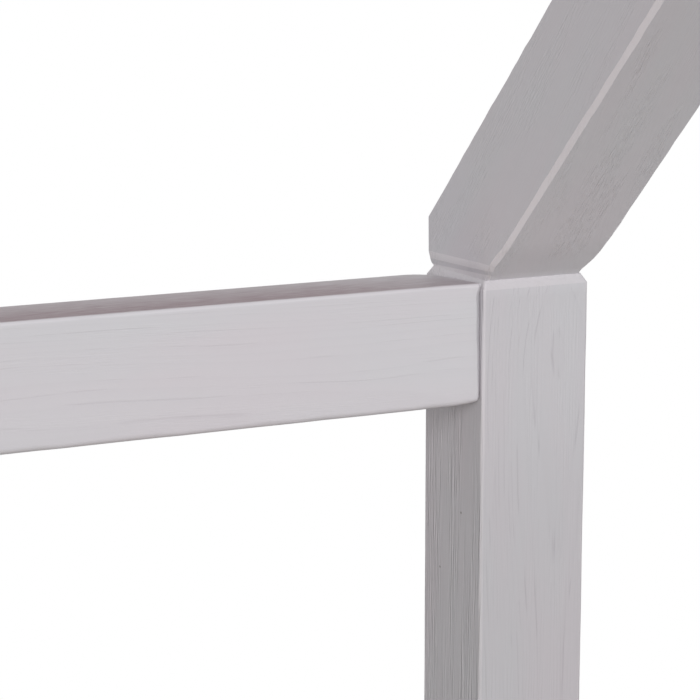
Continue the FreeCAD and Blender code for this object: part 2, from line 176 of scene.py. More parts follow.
@dataclass(frozen=True)
class GrowthRings:
    """Growth rings, fibres and knots of a softwood log, sawn through in three dimensions.

    Sizes in millimetres, in pairs along and across the grain. The pattern reads the grain
    attribute, so each face of a timber shows the cut that it makes through its log: arches on one,
    straight lines on the next, rings on an end.
    """

    ring_spacing: float = 1.4
    wander: float = 2.4             # how far a ring strays from a circle
    wave: Size = (230.0, 40.0)      # over which it strays
    line: Size = (70.0, 3.4)        # pieces that the dark lines are broken into
    fibre: Size = (14.0, 0.9)       # real fibres are finer; this is the least that shows
    patch: Size = (110.0, 13.0)     # of raised fibres
    patch_level: float = 0.46       # noise level above which fibres are raised
    cloud: Size = (190.0, 42.0)
    knot_cell: float = 380.0        # one knot at most in this length of a third of a log's side
    knot_smallest: float = 0.4
    knot_largest: float = 8.0

    def build(self, add: AddNode) -> Figure:
        """Adds the pattern's nodes.

        Args:
            add: adds a node to the material.

        Returns:
            The figure.
        """
        place = add("Attribute", attribute_name=GRAIN).outputs["Vector"]
        parts = add("SeparateXYZ", place).outputs

        def streaks(size: Size, detail: float = 1.0) -> Node:
            """Noise drawn out along the grain, of a size in mm."""
            along, across = (1 / (part * MM) for part in size)
            drawn_out = add("VectorMath", place, (along, across, across), operation="MULTIPLY")
            return add("TexNoise", Vector=drawn_out, Scale=1.0, Detail=detail)

        across = add("VectorMath", place, (0.0, 1.0, 1.0), operation="MULTIPLY")
        radius = add("VectorMath", across, operation="LENGTH")
        stray = add("Math", streaks(self.wave, 1.5), 2 * self.wander * MM, radius,
                    operation="MULTIPLY_ADD")

        # A knot is a cone out from the pith, in a cell of length and of a third of a turn.
        turn = add("Math", parts["Z"], parts["Y"], operation="ARCTAN2")
        third = add("Math", turn, 1.5 / math.pi, 1.5, operation="MULTIPLY_ADD")
        length = add("Math", parts["X"], 1 / (self.knot_cell * MM), operation="MULTIPLY")
        here = add("CombineXYZ", length, third)
        cell = add("TexVoronoi", Vector=here, Scale=1.0, Randomness=0.5, voronoi_dimensions="2D")
        gap = add("VectorMath", cell.outputs["Position"], here, operation="SUBTRACT")
        girth = add("Math", radius, math.pi / 1.5, operation="MULTIPLY")
        scale = add("CombineXYZ", self.knot_cell * MM, girth)
        offset = add("VectorMath", gap, scale, operation="MULTIPLY")
        distance = add("VectorMath", offset, operation="LENGTH")
        chance = add("SeparateColor", cell.outputs["Color"]).outputs["Red"]
        size = add("MapRange", chance, 0.45, 1.0, self.knot_smallest * MM, self.knot_largest * MM)
        nearness = add("Math", distance, size, operation="DIVIDE")
        knot = add("MapRange", nearness, 0.8, 1.15, 1.0, 0.0, interpolation_type="SMOOTHSTEP")
        bend = add("MapRange", nearness, 0.6, 3.6, 1.0, 0.0, interpolation_type="SMOOTHERSTEP")
        bent = add("Math", bend, size, stray, operation="MULTIPLY_ADD")

        year = add("Math", bent, 1 / (self.ring_spacing * MM), operation="MULTIPLY")
        good_years = add("TexNoise", W=year, Scale=0.21, Detail=1.0, noise_dimensions="1D")
        uneven = add("Math", good_years, 3.0, year, operation="MULTIPLY_ADD")
        season = add("Math", uneven, operation="FRACT")
        late = add("ValToRGB", season, stops=[(0.0, 0.0), (0.45, 0.08), (0.8, 0.7), (0.92, 1.0),
                                              (1.0, 0.0)])
        line = add("ValToRGB", season, stops=[(0.0, 0.55), (0.06, 0.0), (0.84, 0.0), (0.95, 1.0),
                                              (1.0, 0.55)])
        shown = add("MapRange", streaks(self.line, 2.0), 0.5, 0.62, interpolation_type="SMOOTHSTEP")
        surface = add("Attribute", attribute_name=SURFACE).outputs
        own = add("SeparateColor", surface["Color"]).outputs
        lined = add("Math", shown, surface["Alpha"], operation="MULTIPLY")
        scratch = add("Math", line, lined, operation="MULTIPLY")

        # Fibres stand up in patches, and the rest was sanded flat.
        fibre = streaks(self.fibre)
        raised = add("MapRange", streaks(self.patch), self.patch_level, self.patch_level + 0.15, 0.12,
                     interpolation_type="SMOOTHSTEP")
        centred = add("Math", fibre, 0.5, operation="SUBTRACT")
        standing = add("Math", centred, raised, operation="MULTIPLY")
        ridge = add("Math", standing, own["Blue"], operation="MULTIPLY")
        relief = add("Math", scratch, -0.25, ridge, operation="MULTIPLY_ADD")
        return Figure(late, scratch, fibre, knot, streaks(self.cloud, 2.0), relief, own["Red"],
                      own["Green"])


@dataclass
class WhiteGlazedPine(Finish):
    """Planed and sanded pine under a thin white water-based glaze, satin.

    The glaze hides the wood's colour and leaves its relief: a cool white with fine broken lines
    along the rings, a little whiter on sanded edges from built-up glaze and a painted highlight,
    and darker and rosy where the glaze is thin, with painted shade.
    """

    rings: GrowthRings = GrowthRings()
    specks: Sequence[tuple[float, float, float]] = ()       # places of dark pin knots, m
    glaze: str = "#CDCACE"
    latewood: str = "#A7A1A8"
    cool_cloud: str = "#FDFFFF"     # the two ends of a faint change of hue, laid over the glaze
    warm_cloud: str = "#FFFDFE"
    # Built-up glaze on rounded edges, with a painted highlight.
    edge: str = "#DCD7DB"
    # Thin glaze with painted shade, on an eave rail's top and on its ends where they meet the posts.
    rubbed: str = "#8E7C81"
    knot: str = "#B4A79C"
    speck: str = "#5F5750"
    relief: float = 0.32
    speck_core: float = 0.375       # radius of a pin knot's dark middle
    speck_rim: float = 0.975        # and of its edge

    def paint(self) -> None:
        """Adds the finish's nodes."""
        add, figure = self.add, self.rings.build(self.add)
        # The glaze lies thinner on hard latewood, and darkens in the lines.
        soft_lines = add("Math", figure.late, 0.04, operation="MULTIPLY")
        lines = add("Math", figure.scratch, 0.3, soft_lines, operation="MULTIPLY_ADD", use_clamp=True)
        hue = add("ValToRGB", figure.cloud, stops=[(0.36, self.cool_cloud), (0.64, self.warm_cloud)])
        knotted = add("Math", figure.knot, 0.4, operation="MULTIPLY")
        # Edge glaze with a painted highlight, thin glaze with painted shade, broken up by clouds and
        # fibres.
        patchy = add("MapRange", figure.cloud, *NOISE_SPAN, 0.8)
        edge = add("Attribute", attribute_name=EDGE_GLAZE_AND_HIGHLIGHT).outputs["Fac"]
        built_up_and_highlit = add("Math", edge, patchy, operation="MULTIPLY")
        streaky = add("MapRange", figure.fibre, *NOISE_SPAN, 0.78, 1.04)
        thinned_and_shaded = add("Math", figure.thin, streaky, operation="MULTIPLY", use_clamp=True)
        layers = [(lines, self.latewood, "MIX"), (1.0, hue, "MULTIPLY"), (knotted, self.knot, "MIX"),
                  (built_up_and_highlit, self.edge, "MIX"), (thinned_and_shaded, self.rubbed, "MIX"),
                  (1.0, figure.tone, "MULTIPLY")]
        spot = add("TexCoord").outputs["Object"] if self.specks else None
        for speck in self.specks:
            away = add("VectorMath", spot, speck, operation="DISTANCE")
            share = add("MapRange", away, self.speck_core * MM, self.speck_rim * MM, 0.8, 0.0)
            layers.append((share, self.speck, "MIX"))
        colour = self.glaze
        for share, layer, blend in layers:
            colour = add("Mix", share, at={6: colour, 7: layer}, data_type="RGBA", blend_type=blend)
        sheen = add("MapRange", figure.fibre, *NOISE_SPAN, 0.46, 0.58)
        self.cover(colour, figure.relief, self.relief, Roughness=sheen, Specular_IOR_Level=0.3)


@dataclass
class BarePine(Finish):
    """Planed pine with no finish: warm, with reddish latewood and brown knots, matt."""

    rings: GrowthRings = GrowthRings(ring_spacing=2.1, knot_cell=300.0, knot_largest=7.0)
    earlywood: str = "#DCC49D"
    latewood: str = "#BF9562"
    knot: str = "#8A5A34"
    relief: float = 0.06

    def paint(self) -> None:
        """Adds the finish's nodes."""
        add, figure = self.add, self.rings.build(self.add)
        shades = [add("ValToRGB", part, stops=[(0.32, darkest), (0.68, 1.0)])
                  for part, darkest in ((figure.fibre, 0.88), (figure.cloud, 0.86))]
        colour = self.earlywood
        for share, layer, blend in ((figure.late, self.latewood, "MIX"),
                                    *((1.0, shade, "MULTIPLY") for shade in shades),
                                    (figure.knot, self.knot, "MIX")):
            colour = add("Mix", share, at={6: colour, 7: layer}, data_type="RGBA", blend_type=blend)
        matt = add("MapRange", figure.fibre, *NOISE_SPAN, 0.6, 0.74)
        self.cover(colour, figure.relief, self.relief, Roughness=matt, Specular_IOR_Level=0.3)


@dataclass
class BeechDowel(Finish):
    """Turned beech dowel: pinkish brown with short dark flecks along it, matt."""

    along: Vector                   # direction of the dowels
    wood: str = "#C79A72"
    fleck: str = "#A67650"
    fleck_length: float = 3.0
    fleck_width: float = 0.35

    def paint(self) -> None:
        """Adds the finish's nodes."""
        size = [1 / ((self.fleck_length if abs(part) > 0.5 else self.fleck_width) * MM)
                for part in self.along]
        spot = self.add("TexCoord").outputs["Object"]
        scaled = self.add("Mapping", Vector=spot, Scale=size)
        flecks = self.add("TexNoise", Vector=scaled, Scale=1.0, Detail=2.0)
        colour = self.add("ValToRGB", flecks, stops=[(0.38, self.fleck), (0.55, self.wood)])
        self.cover(colour, flecks, 0.02, Roughness=0.62)


@dataclass
class ZincPlatedSteel(Finish):
    """Cold-headed steel, bright zinc plated: blue-white with a faint grain and duller patches."""

    bright: str = "#D3D6DA"
    dull: str = "#B4B8BE"
    patch: float = 4.0
    crystal: float = 0.5

    def paint(self) -> None:
        """Adds the finish's nodes."""
        spot = self.add("TexCoord").outputs["Object"]
        patches = self.add("TexNoise", Vector=spot, Scale=1 / (self.patch * MM), Detail=3.0)
        colour = self.add("ValToRGB", patches, stops=[(0.35, self.dull), (0.65, self.bright)])
        rough = self.add("MapRange", patches, *NOISE_SPAN, 0.42, 0.26)
        crystals = self.add("TexNoise", Vector=spot, Scale=1 / (self.crystal * MM), Detail=2.0)
        self.cover(colour, crystals, 0.006, Roughness=rough, Metallic=1.0)


@dataclass
class WovenTape(Finish):
    """Polyester webbing in a plain weave: off-white, matt, with a fine rib across the tape."""

    thread_colour: str = "#DEDBD2"
    shadow: str = "#A9A59B"
    thread: float = 1.1             # between threads, drawn coarse enough to show
    fuzz: float = 0.4

    def paint(self) -> None:
        """Adds the finish's nodes."""
        add = self.add
        spot = add("TexCoord").outputs["Object"]
        turns = math.pi / (self.thread * MM)
        scaled = add("VectorMath", spot, (turns, turns, 0.0), operation="MULTIPLY")
        parts = add("SeparateXYZ", scaled).outputs
        weft, warp = (add("Math", parts[axis], operation="SINE") for axis in "XY")
        crossing = add("Math", weft, warp, operation="MULTIPLY")
        weave = add("Math", crossing, operation="ABSOLUTE")
        fuzz = add("TexNoise", Vector=spot, Scale=1 / (self.fuzz * MM), Detail=2.0)
        height = add("Math", fuzz, 0.3, weave, operation="MULTIPLY_ADD")
        colour = add("ValToRGB", height, stops=[(0.1, self.shadow), (0.6, self.thread_colour)])
        self.cover(colour, height, 0.16, Roughness=0.85, Sheen_Weight=0.15)


@dataclass
class GlidePlastic(Finish):
    """Injection-moulded polyethylene: milky white with a spark-eroded matt texture."""

    body: str = "#D9D8D3"
    scuff: str = "#BDBBB4"
    scuff_size: float = 9.0
    texture_size: float = 0.35

    def paint(self) -> None:
        """Adds the finish's nodes."""
        spot = self.add("TexCoord").outputs["Object"]
        scuffs = self.add("TexNoise", Vector=spot, Scale=1 / (self.scuff_size * MM), Detail=4.0)
        colour = self.add("ValToRGB", scuffs, stops=[(0.34, self.scuff), (0.5, self.body)])
        texture = self.add("TexNoise", Vector=spot, Scale=1 / (self.texture_size * MM), Detail=1.0)
        self.cover(colour, texture, 0.015, Roughness=0.55)


class Finishes:
    """The finishes that several sub-assemblies share, each made once."""

    def __init__(self) -> None:
        """Makes the materials."""
        self.glazed = WhiteGlazedPine("white_glazed_pine").material
        self.bare = BarePine("bare_planed_pine").material
        self.steel = ZincPlatedSteel("bright_zinc_plated_steel").material
        self.tape = WovenTape("woven_polyester_tape").material
        self.plastic = GlidePlastic("moulded_polyethylene").material


# ---- Timbers and their bores ----

class Corner(Enum):
    """Corners of the bed: each one's name, and the signs that mirror the back right one to it."""

    BACK_RIGHT = ("back_right", 1, 1)
    FRONT_RIGHT = ("front_right", 1, -1)
    BACK_LEFT = ("back_left", -1, 1)
    FRONT_LEFT = ("front_left", -1, -1)

    @property
    def label(self) -> str:
        """The corner's name."""
        return self.value[0]

    def mirror(self, place: Vector) -> Vector:
        """A point or direction of the back right corner, mirrored to this one."""
        return Vector((place.x * self.value[1], place.y * self.value[2], place.z))


SIDES = {"back": Corner.BACK_RIGHT, "front": Corner.FRONT_RIGHT}
ENDS = {"right": Corner.BACK_RIGHT, "left": Corner.BACK_LEFT}


class Run(Enum):
    """Direction of a straight timber's grain."""

    ALONG_BED = 0
    ACROSS_BED = 1
    UPRIGHT = 2

    @property
    def axes(self) -> tuple[Vector, Vector, Vector]:
        """Unit vectors along the grain, across it and through its depth."""
        return ((X, Y, Z), (Y, X, Z), (Z, X, Y))[self.value]


@dataclass(frozen=True)
class Bore:
    """A turned hole: its start, its direction, and the radii and depths of its outline."""

    start: Vector
    direction: Vector
    outline: tuple[Size, ...]       # (radius, depth) in mm, from the mouth inwards
    facets: int

    def mirrored(self, corner: Corner) -> "Bore":
        """The same hole at another corner."""
        return Bore(corner.mirror(self.start), corner.mirror(self.direction), self.outline, self.facets)

    def cutter(self) -> Object:
        """Spins the outline to the solid that the hole removes.

        Returns:
            The cutter, with its faces in the second material slot.
        """
        bm = bmesh.new()
        profile = [(0.0, self.outline[0][1]), *self.outline, (0.0, self.outline[-1][1])]
        verts = [bm.verts.new((radius * MM, 0.0, depth * MM)) for radius, depth in profile]
        edges = [bm.edges.new(pair) for pair in zip(verts, verts[1:])]
        bmesh.ops.spin(bm, geom=verts + edges, cent=(0, 0, 0), axis=(0, 0, 1), angle=2 * math.pi,
                       steps=self.facets, use_merge=True)
        bmesh.ops.remove_doubles(bm, verts=bm.verts, dist=0.001 * MM)
        bmesh.ops.recalc_face_normals(bm, faces=bm.faces)
        turn = self.direction.to_track_quat("Z", "Y").to_matrix().to_4x4()
        bmesh.ops.transform(bm, matrix=Matrix.Translation(self.start) @ turn, verts=bm.verts)
        for face in bm.faces:
            face.material_index = 1
        return new_piece("cutter", bm)


def new_piece(name: str, bm: BMesh, *materials: Material) -> Object:
    """Makes an object of a bmesh, which it frees.

    Args:
        name: name of the object and its mesh.
        bm: the shape.
        materials: its material slots.

    Returns:
        The object.
    """
    mesh = bpy.data.meshes.new(name)
    bm.to_mesh(mesh)
    bm.free()
    for material in materials:
        mesh.materials.append(material)
    piece = bpy.data.objects.new(name, mesh)
    bpy.context.scene.collection.objects.link(piece)
    return piece


def hang(piece: Object, node: str, slot: str) -> None:
    """Puts a piece in place of its CAD node, and logs it.

    Args:
        piece: the finished piece.
        node: the CAD node.
        slot: the record's material slot.
    """
    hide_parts(node)
    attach(piece, "root")
    log.info("%s: %d faces, %s", piece.name, len(piece.data.polygons), slot)


def apply_modifiers(piece: Object) -> None:
    """Replaces a piece's mesh by what its modifiers make of it."""
    view = bpy.context.evaluated_depsgraph_get()
    made = bpy.data.meshes.new_from_object(piece.evaluated_get(view), preserve_all_data_layers=True,
                                           depsgraph=view)
    old, name = piece.data, piece.data.name
    piece.modifiers.clear()
    piece.data = made
    bpy.data.meshes.remove(old)
    made.name = name


def weld(mesh: Mesh) -> None:
    """Joins points that a bevel or a bore left on top of each other, and drops empty faces."""
    apart = 0.002 * MM
    bm = bmesh.new()
    bm.from_mesh(mesh)
    bmesh.ops.remove_doubles(bm, verts=bm.verts, dist=apart)
    bmesh.ops.dissolve_degenerate(bm, edges=bm.edges, dist=apart)
    bm.to_mesh(mesh)
    bm.free()


def held(value: float) -> float:
    """A value held between 0 and 1."""
    return min(1.0, max(0.0, value))


def sanding(place: Vector, size: float, amount: float) -> float:
    """How much rounder or sharper hand sanding left an edge, as a factor near 1."""
    return 1.0 + amount * noise.noise(place / size)


@dataclass(frozen=True)
class Sawing:
    """How a piece was sawn from its log, which sets the figure on its faces, and its glaze."""

    pith: Size                      # across and depth of the pith from the piece's middle, mm
    lean: Size = (0.0, 0.0)         # of the grain in those directions, degrees
    shift: float = 0.0              # along the log, m, which makes the figure its own
    tone: float = 1.0               # of the glaze
    raised: Size = (0.5, 0.5)       # fibres on faces across and through the depth
    lined: float = 0.6              # how far the lines along the rings show
    bend: float = 0.0               # 1/m, how fast the log curves away beyond a point
    bend_from: float = 0.0          # that point, m along from the piece's middle

    @staticmethod
    def any_board(number: int) -> "Sawing":
        """A plausible cut for a piece whose figure no photograph shows.

        Args:
            number: the piece's number, which seeds the choice.

        Returns:
            The cut.
        """
        chance = random.Random(number)
        turn = chance.uniform(0, 2 * math.pi)
        reach = chance.uniform(55, 120)
        lean = (chance.uniform(-1.4, 1.4), chance.uniform(-1.4, 1.4))
        return Sawing((reach * math.cos(turn), reach * math.sin(turn)), lean,
                      0.9 + 1.3 * number, chance.uniform(0.95, 1.0))


@dataclass
class Timber:
    """A squared timber in the making."""

    node: str
    axes: tuple[Vector, Vector, Vector]         # along, across and depth
    sawing: Sawing
    low: Vector = field(init=False)
    high: Vector = field(init=False)
    bm: BMesh = field(init=False)

    def __post_init__(self) -> None:
        """Reads the CAD node's box and starts from a block that fills it."""
        self.low, self.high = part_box(self.node)
        self.block(self.high - self.low, Matrix.Translation(self.middle))

    @property
    def middle(self) -> Vector:
        """Middle of the CAD node's box."""
        return (self.low + self.high) / 2

    def block(self, size: Vector, place: Matrix) -> None:
        """Starts from a block of a size, put in place by a matrix."""
        self.bm = bmesh.new()
        bmesh.ops.create_cube(self.bm, size=1.0)
        bmesh.ops.scale(self.bm, vec=size, verts=self.bm.verts)
        bmesh.ops.transform(self.bm, matrix=place, verts=self.bm.verts)
        bmesh.ops.recalc_face_normals(self.bm, faces=self.bm.faces)

    def round_over(self, radius: float, test: Callable[[Vector, Vector], bool],
                   segments: int = 4) -> None:
        """Rounds edges.

        Args:
            radius: radius of the round, mm.
            test: whether an edge is rounded, from its two ends.
            segments: facets of the round; 1 makes a flat bevel.
        """
        edges = [edge for edge in self.bm.edges if test(edge.verts[0].co, edge.verts[1].co)]
        bmesh.ops.bevel(self.bm, geom=edges, offset=radius * MM, offset_type="OFFSET", affect="EDGES",
                        segments=segments, profile=0.5, material=-1, clamp_overlap=True)

    def cut(self, point: Vector, normal: Vector, clear: bool) -> list[Any]:
        """Cuts the timber at a plane.

        Args:
            point: a point of the plane.
            normal: direction square to it.
            clear: whether the part on that side falls off.

        Returns:
            The points and edges on the plane.
        """
        whole = [*self.bm.verts, *self.bm.edges, *self.bm.faces]
        return bmesh.ops.bisect_plane(self.bm, geom=whole, dist=0.0001 * MM, plane_co=point,
                                      plane_no=normal, clear_outer=clear)["geom_cut"]

    def cross_cuts(self, direction: Vector, start: Vector, places: Iterable[float]) -> None:
        """Adds loops of edges square to a direction, at distances in metres from a start."""
        for place in places:
            self.cut(start + direction * place, direction, False)

    def saw(self, point: Vector, outward: Vector) -> None:
        """Cuts off what lies outward of a point, and closes the cut."""
        rim = [item for item in self.cut(point, outward, True) if isinstance(item, BMEdge)]
        bmesh.ops.contextual_create(self.bm, geom=rim)

    def reshape(self, move: Callable[[Vector], Vector]) -> None:
        """Moves every vertex by a rule."""
        for vert in self.bm.verts:
            vert.co = move(vert.co)

    def finish(self, finishes: Finishes, bores: Iterable[Bore],
               material: Optional[Material] = None,
               edges: Callable[[Vector], float] = lambda normal: 1.0, flats: Sequence[Vector] = (),
               thin: Callable[[Vector, Vector], float] = lambda place, normal: 0.0) -> None:
        """Bores the timber, dresses it and hangs it in the frame.

        Args:
            finishes: the shared finishes; its bores are bare.
            bores: its holes.
            material: finish of its faces, the shared glaze if none is given.
            edges: how much built-up glaze and painted highlight a rounded edge gets, from its normal.
            flats: directions of flat faces that its axes don't give.
            thin: how thin the glaze is at a point, with painted shade, from its place and normal.
        """
        material = material or finishes.glazed
        bmesh.ops.recalc_face_normals(self.bm, faces=self.bm.faces)
        piece = new_piece(f"{self.node}_timber", self.bm, material, finishes.bare)
        cutters = [bore.cutter() for bore in bores]
        for cutter in cutters:
            cut = piece.modifiers.new("bore", "BOOLEAN")
            cut.operation, cut.solver, cut.material_mode = "DIFFERENCE", "EXACT", "INDEX"
            cut.object = cutter
        if cutters:
            apply_modifiers(piece)
        for cutter in cutters:
            bpy.data.meshes.remove(cutter.data)
        mesh = piece.data
        weld(mesh)
        self.write_grain(mesh, thin)
        # Rounded edges get built-up glaze and a painted highlight, as the edges rule gives them.
        edge_values = mesh.attributes.new(EDGE_GLAZE_AND_HIGHLIGHT, "FLOAT", "FACE")
        for face, value in zip(mesh.polygons, edge_values.data):
            square = max(abs(face.normal.dot(flat)) for flat in (*self.axes, *flats))
            value.value = edges(face.normal) if square < FLAT and face.material_index == 0 else 0
        mesh.shade_smooth()
        mesh.set_sharp_from_angle(angle=SHARP)
        piece.modifiers.new("even_shading", "WEIGHTED_NORMAL").keep_sharp = True
        apply_modifiers(piece)
        hang(piece, self.node, "bare_pine" if material is finishes.bare else "white_glazed_pine")

    def write_grain(self, mesh: Mesh, thin: Callable[[Vector, Vector], float]) -> None:
        """Writes where each point lay in its log, and how its glaze is.

        Args:
            mesh: the bored mesh.
            thin: how thin the glaze is at a point, with painted shade, from its place and normal.
        """
        along, across, depth = self.axes
        lean_across, lean_depth = (math.tan(math.radians(angle)) for angle in self.sawing.lean)
        grain = (along + across * lean_across + depth * lean_depth).normalized()
        side = (across - grain * across.dot(grain)).normalized()
        turn = Matrix((grain, side, grain.cross(side)))
        pith = self.middle + (across * self.sawing.pith[0] + depth * self.sawing.pith[1]) * MM
        mesh.attributes.new(GRAIN, "FLOAT_VECTOR", "POINT")
        mesh.attributes.new(SURFACE, "FLOAT_COLOR", "POINT")
        places, surfaces = (mesh.attributes[name].data for name in (GRAIN, SURFACE))
        raised_across, raised_depth = self.sawing.raised
        for vert in mesh.vertices:
            place = turn @ (vert.co - pith)
            beyond = max(0.0, place.x - self.sawing.bend_from)
            place.z -= self.sawing.bend * beyond ** 2
            place.x += self.sawing.shift
            places[vert.index].vector = place
            facing = vert.normal.dot(across) ** 2
            raised = raised_depth + (raised_across - raised_depth) * facing
            surfaces[vert.index].color = (self.sawing.tone, thin(vert.co, vert.normal), raised,
                                          self.sawing.lined)


@dataclass(frozen=True)
class BoltSize:
    """Flat-headed bolt with its barrel nut, and the room round them, mm."""

    radius: float
    length: float
    head_radius: float
    nut_radius: float
    nut_length: float
    shank_room: float = 0.25
    head_room: float = 0.75
    end_room: float = 2.0
    nut_room: float = 0.1
    facets: int = 56

    def bore(self, seat: Vector, direction: Vector, recess: float) -> Bore:
        """Counterbore and clearance hole.

        Args:
            seat: where the head rests.
            direction: direction of the shank.
            recess: length of the counterbore outward from the seat, mm.

        Returns:
            The bore.
        """
        head, shank = self.head_radius + self.head_room, self.radius + self.shank_room
        return Bore(seat, direction, ((head, -recess), (head, 0.0), (shank, 0.0),
                                      (shank, self.length + self.end_room)), self.facets)

    def nut_bore(self, centre: Vector, outward: Vector, surface: float) -> Bore:
        """Cross bore of the barrel nut.

        Args:
            centre: the nut's middle.
            outward: direction to the bore's mouth.
            surface: distance from the nut's middle to the surface, mm.

        Returns:
            The bore.
        """
        radius = self.nut_radius + self.nut_room
        return Bore(centre, -outward, ((radius, -surface - 1.0),
                                       (radius, self.nut_length / 2 + self.nut_room)), self.facets)


@dataclass
class Joinery:
    """Bores of the bed's joints at the back right corner. Sizes in millimetres."""

    post_size: float = 70.0
    rail_thickness: float = 47.0
    rail_height: float = 71.0
    inner_x: float = 1010.0
    inner_y: float = 460.0
    post_top: float = 1150.0
    eave_mid: float = 1114.0
    side_mid: float = 185.5
    ridge_mid: float = 1632.40
    counterbore: float = 5.0
    nut_from_end: float = 30.0
    bolt_rise: float = 11.0
    dowel_rise: float = 24.0
    dowel_radius: float = 4.05
    dowel_half: float = 26.0
    dowel_facets: int = 24
    foot_bolt_y: float = 508.0
    foot_seat_rise: float = 31.56
    foot_recess: float = 99.0       # out through the rafter's top
    foot_nut_depth: float = 60.0
    foot_dowel_y: float = 478.0
    foot_dowel_apart: float = 36.0
    foot_dowel_half: float = 25.0
    apex_dowel_rises: Size = (-13.0, 22.0)
    ridge_bolt_y: float = 13.0
    screw_room: float = 0.05
    screw_end_room: float = 2.0
    screw_facets: int = 32
    pin_radius: float = 2.55
    pin_depth: float = 22.0
    rail_bolt: BoltSize = BoltSize(4.0, 110.0, 8.5, 7.0, 20.0)
    foot_bolt: BoltSize = BoltSize(4.0, 100.0, 8.5, 7.0, 20.0)
    ridge_bolt: BoltSize = BoltSize(3.0, 105.0, 7.0, 5.0, 14.0)

    def point(self, x: float, y: float, z: float) -> Vector:
        """A point given in millimetres."""
        return Vector((x, y, z)) * MM

    def dowel(self, middle: Vector, direction: Vector, half: float = dowel_half) -> Bore:
        """Bore of a dowel on both sides of its joint."""
        return Bore(middle, direction, ((self.dowel_radius, -half), (self.dowel_radius, half)),
                    self.dowel_facets)

    def lengthwise(self, bolt_z: float, dowel_z: float) -> list[Bore]:
        """Joint of a rail that runs along the bed.

        Args:
            bolt_z: height of the bolt, mm.
            dowel_z: height of the dowel, mm.

        Returns:
            Bores of the bolt, its nut and the dowel.
        """
        y = self.inner_y + self.rail_thickness / 2
        seat = self.point(self.inner_x + self.post_size - self.counterbore, y, bolt_z)
        nut = self.point(self.inner_x - self.nut_from_end, y, bolt_z)
        return [self.rail_bolt.bore(seat, -X, self.counterbore + 1),
                self.rail_bolt.nut_bore(nut, Y, self.rail_thickness / 2),
                self.dowel(self.point(self.inner_x, y, dowel_z), X)]

    def eave(self) -> list[Bore]:
        """Joint of an eave rail."""
        return self.lengthwise(self.eave_mid, self.eave_mid - self.dowel_rise)

    def bed_side(self) -> list[Bore]:
        """Joint of a side rail."""
        return self.lengthwise(self.side_mid + self.bolt_rise, self.side_mid - self.dowel_rise)

    def bed_end(self) -> list[Bore]:
        """Joint of an end rail."""
        x = self.inner_x + self.rail_thickness / 2
        bolt_z = self.side_mid - self.bolt_rise
        seat = self.point(x, self.inner_y + self.post_size - self.counterbore, bolt_z)
        nut = self.point(x, self.inner_y - self.nut_from_end, bolt_z)
        return [self.rail_bolt.bore(seat, -Y, self.counterbore + 1),
                self.rail_bolt.nut_bore(nut, X, self.rail_thickness / 2),
                self.dowel(self.point(x, self.inner_y, self.side_mid + self.dowel_rise), Y)]

    def foot(self) -> list[Bore]:
        """Joint of a rafter's foot on its post."""
        x = self.inner_x + self.post_size / 2
        seat = self.point(x, self.foot_bolt_y, self.post_top + self.foot_seat_rise)
        nut = self.point(x, self.foot_bolt_y, self.post_top - self.foot_nut_depth)
        surface = self.inner_y + self.post_size - self.foot_bolt_y
        return [self.foot_bolt.bore(seat, -Z, self.foot_recess),
                self.foot_bolt.nut_bore(nut, Y, surface),
                *(self.dowel(self.point(x + side * self.foot_dowel_apart / 2, self.foot_dowel_y,
                                        self.post_top), Z, self.foot_dowel_half) for side in (-1, 1))]

    def ridge(self) -> list[Bore]:
        """Joint of the ridge beam's end with a rafter."""
        seat, nut = (self.point(x, self.ridge_bolt_y, self.ridge_mid) for x in (
            self.inner_x + self.post_size - self.counterbore, self.inner_x - self.nut_from_end))
        return [self.ridge_bolt.bore(seat, -X, self.counterbore + 1),
                self.ridge_bolt.nut_bore(nut, -Z, self.rail_height / 2)]

    def apex(self) -> list[Bore]:
        """Dowels across the plumb joint of two rafters."""
        x = self.inner_x + self.post_size / 2
        return [self.dowel(self.point(x, 0.0, self.ridge_mid + rise), Y)
                for rise in self.apex_dowel_rises]

    def screw(self, mouth: Vector, direction: Vector, radius: float, length: float) -> Bore:
        """Countersink and pilot hole of a screw whose head is as wide as two shanks.

        Args:
            mouth: middle of the screw's head.
            direction: direction of the screw.
            radius: radius of its shank, mm.
            length: its length, mm.

        Returns:
            The bore.
        """
        hole = radius + self.screw_room
        return Bore(mouth, direction, ((2 * radius + 1 + self.screw_room, -1.0), (hole, radius),
                                       (hole, length + self.screw_end_room)), self.screw_facets)

    def glide_pin(self) -> Bore:
        """Hole of a glide's pin, up into a post's foot."""
        foot = self.point(self.inner_x + self.post_size / 2, self.inner_y + self.post_size / 2, 0.0)
        return Bore(foot, Z, ((self.pin_radius, 0.0), (self.pin_radius, self.pin_depth)),
                    self.dowel_facets)


# ---- Sub-assemblies ----

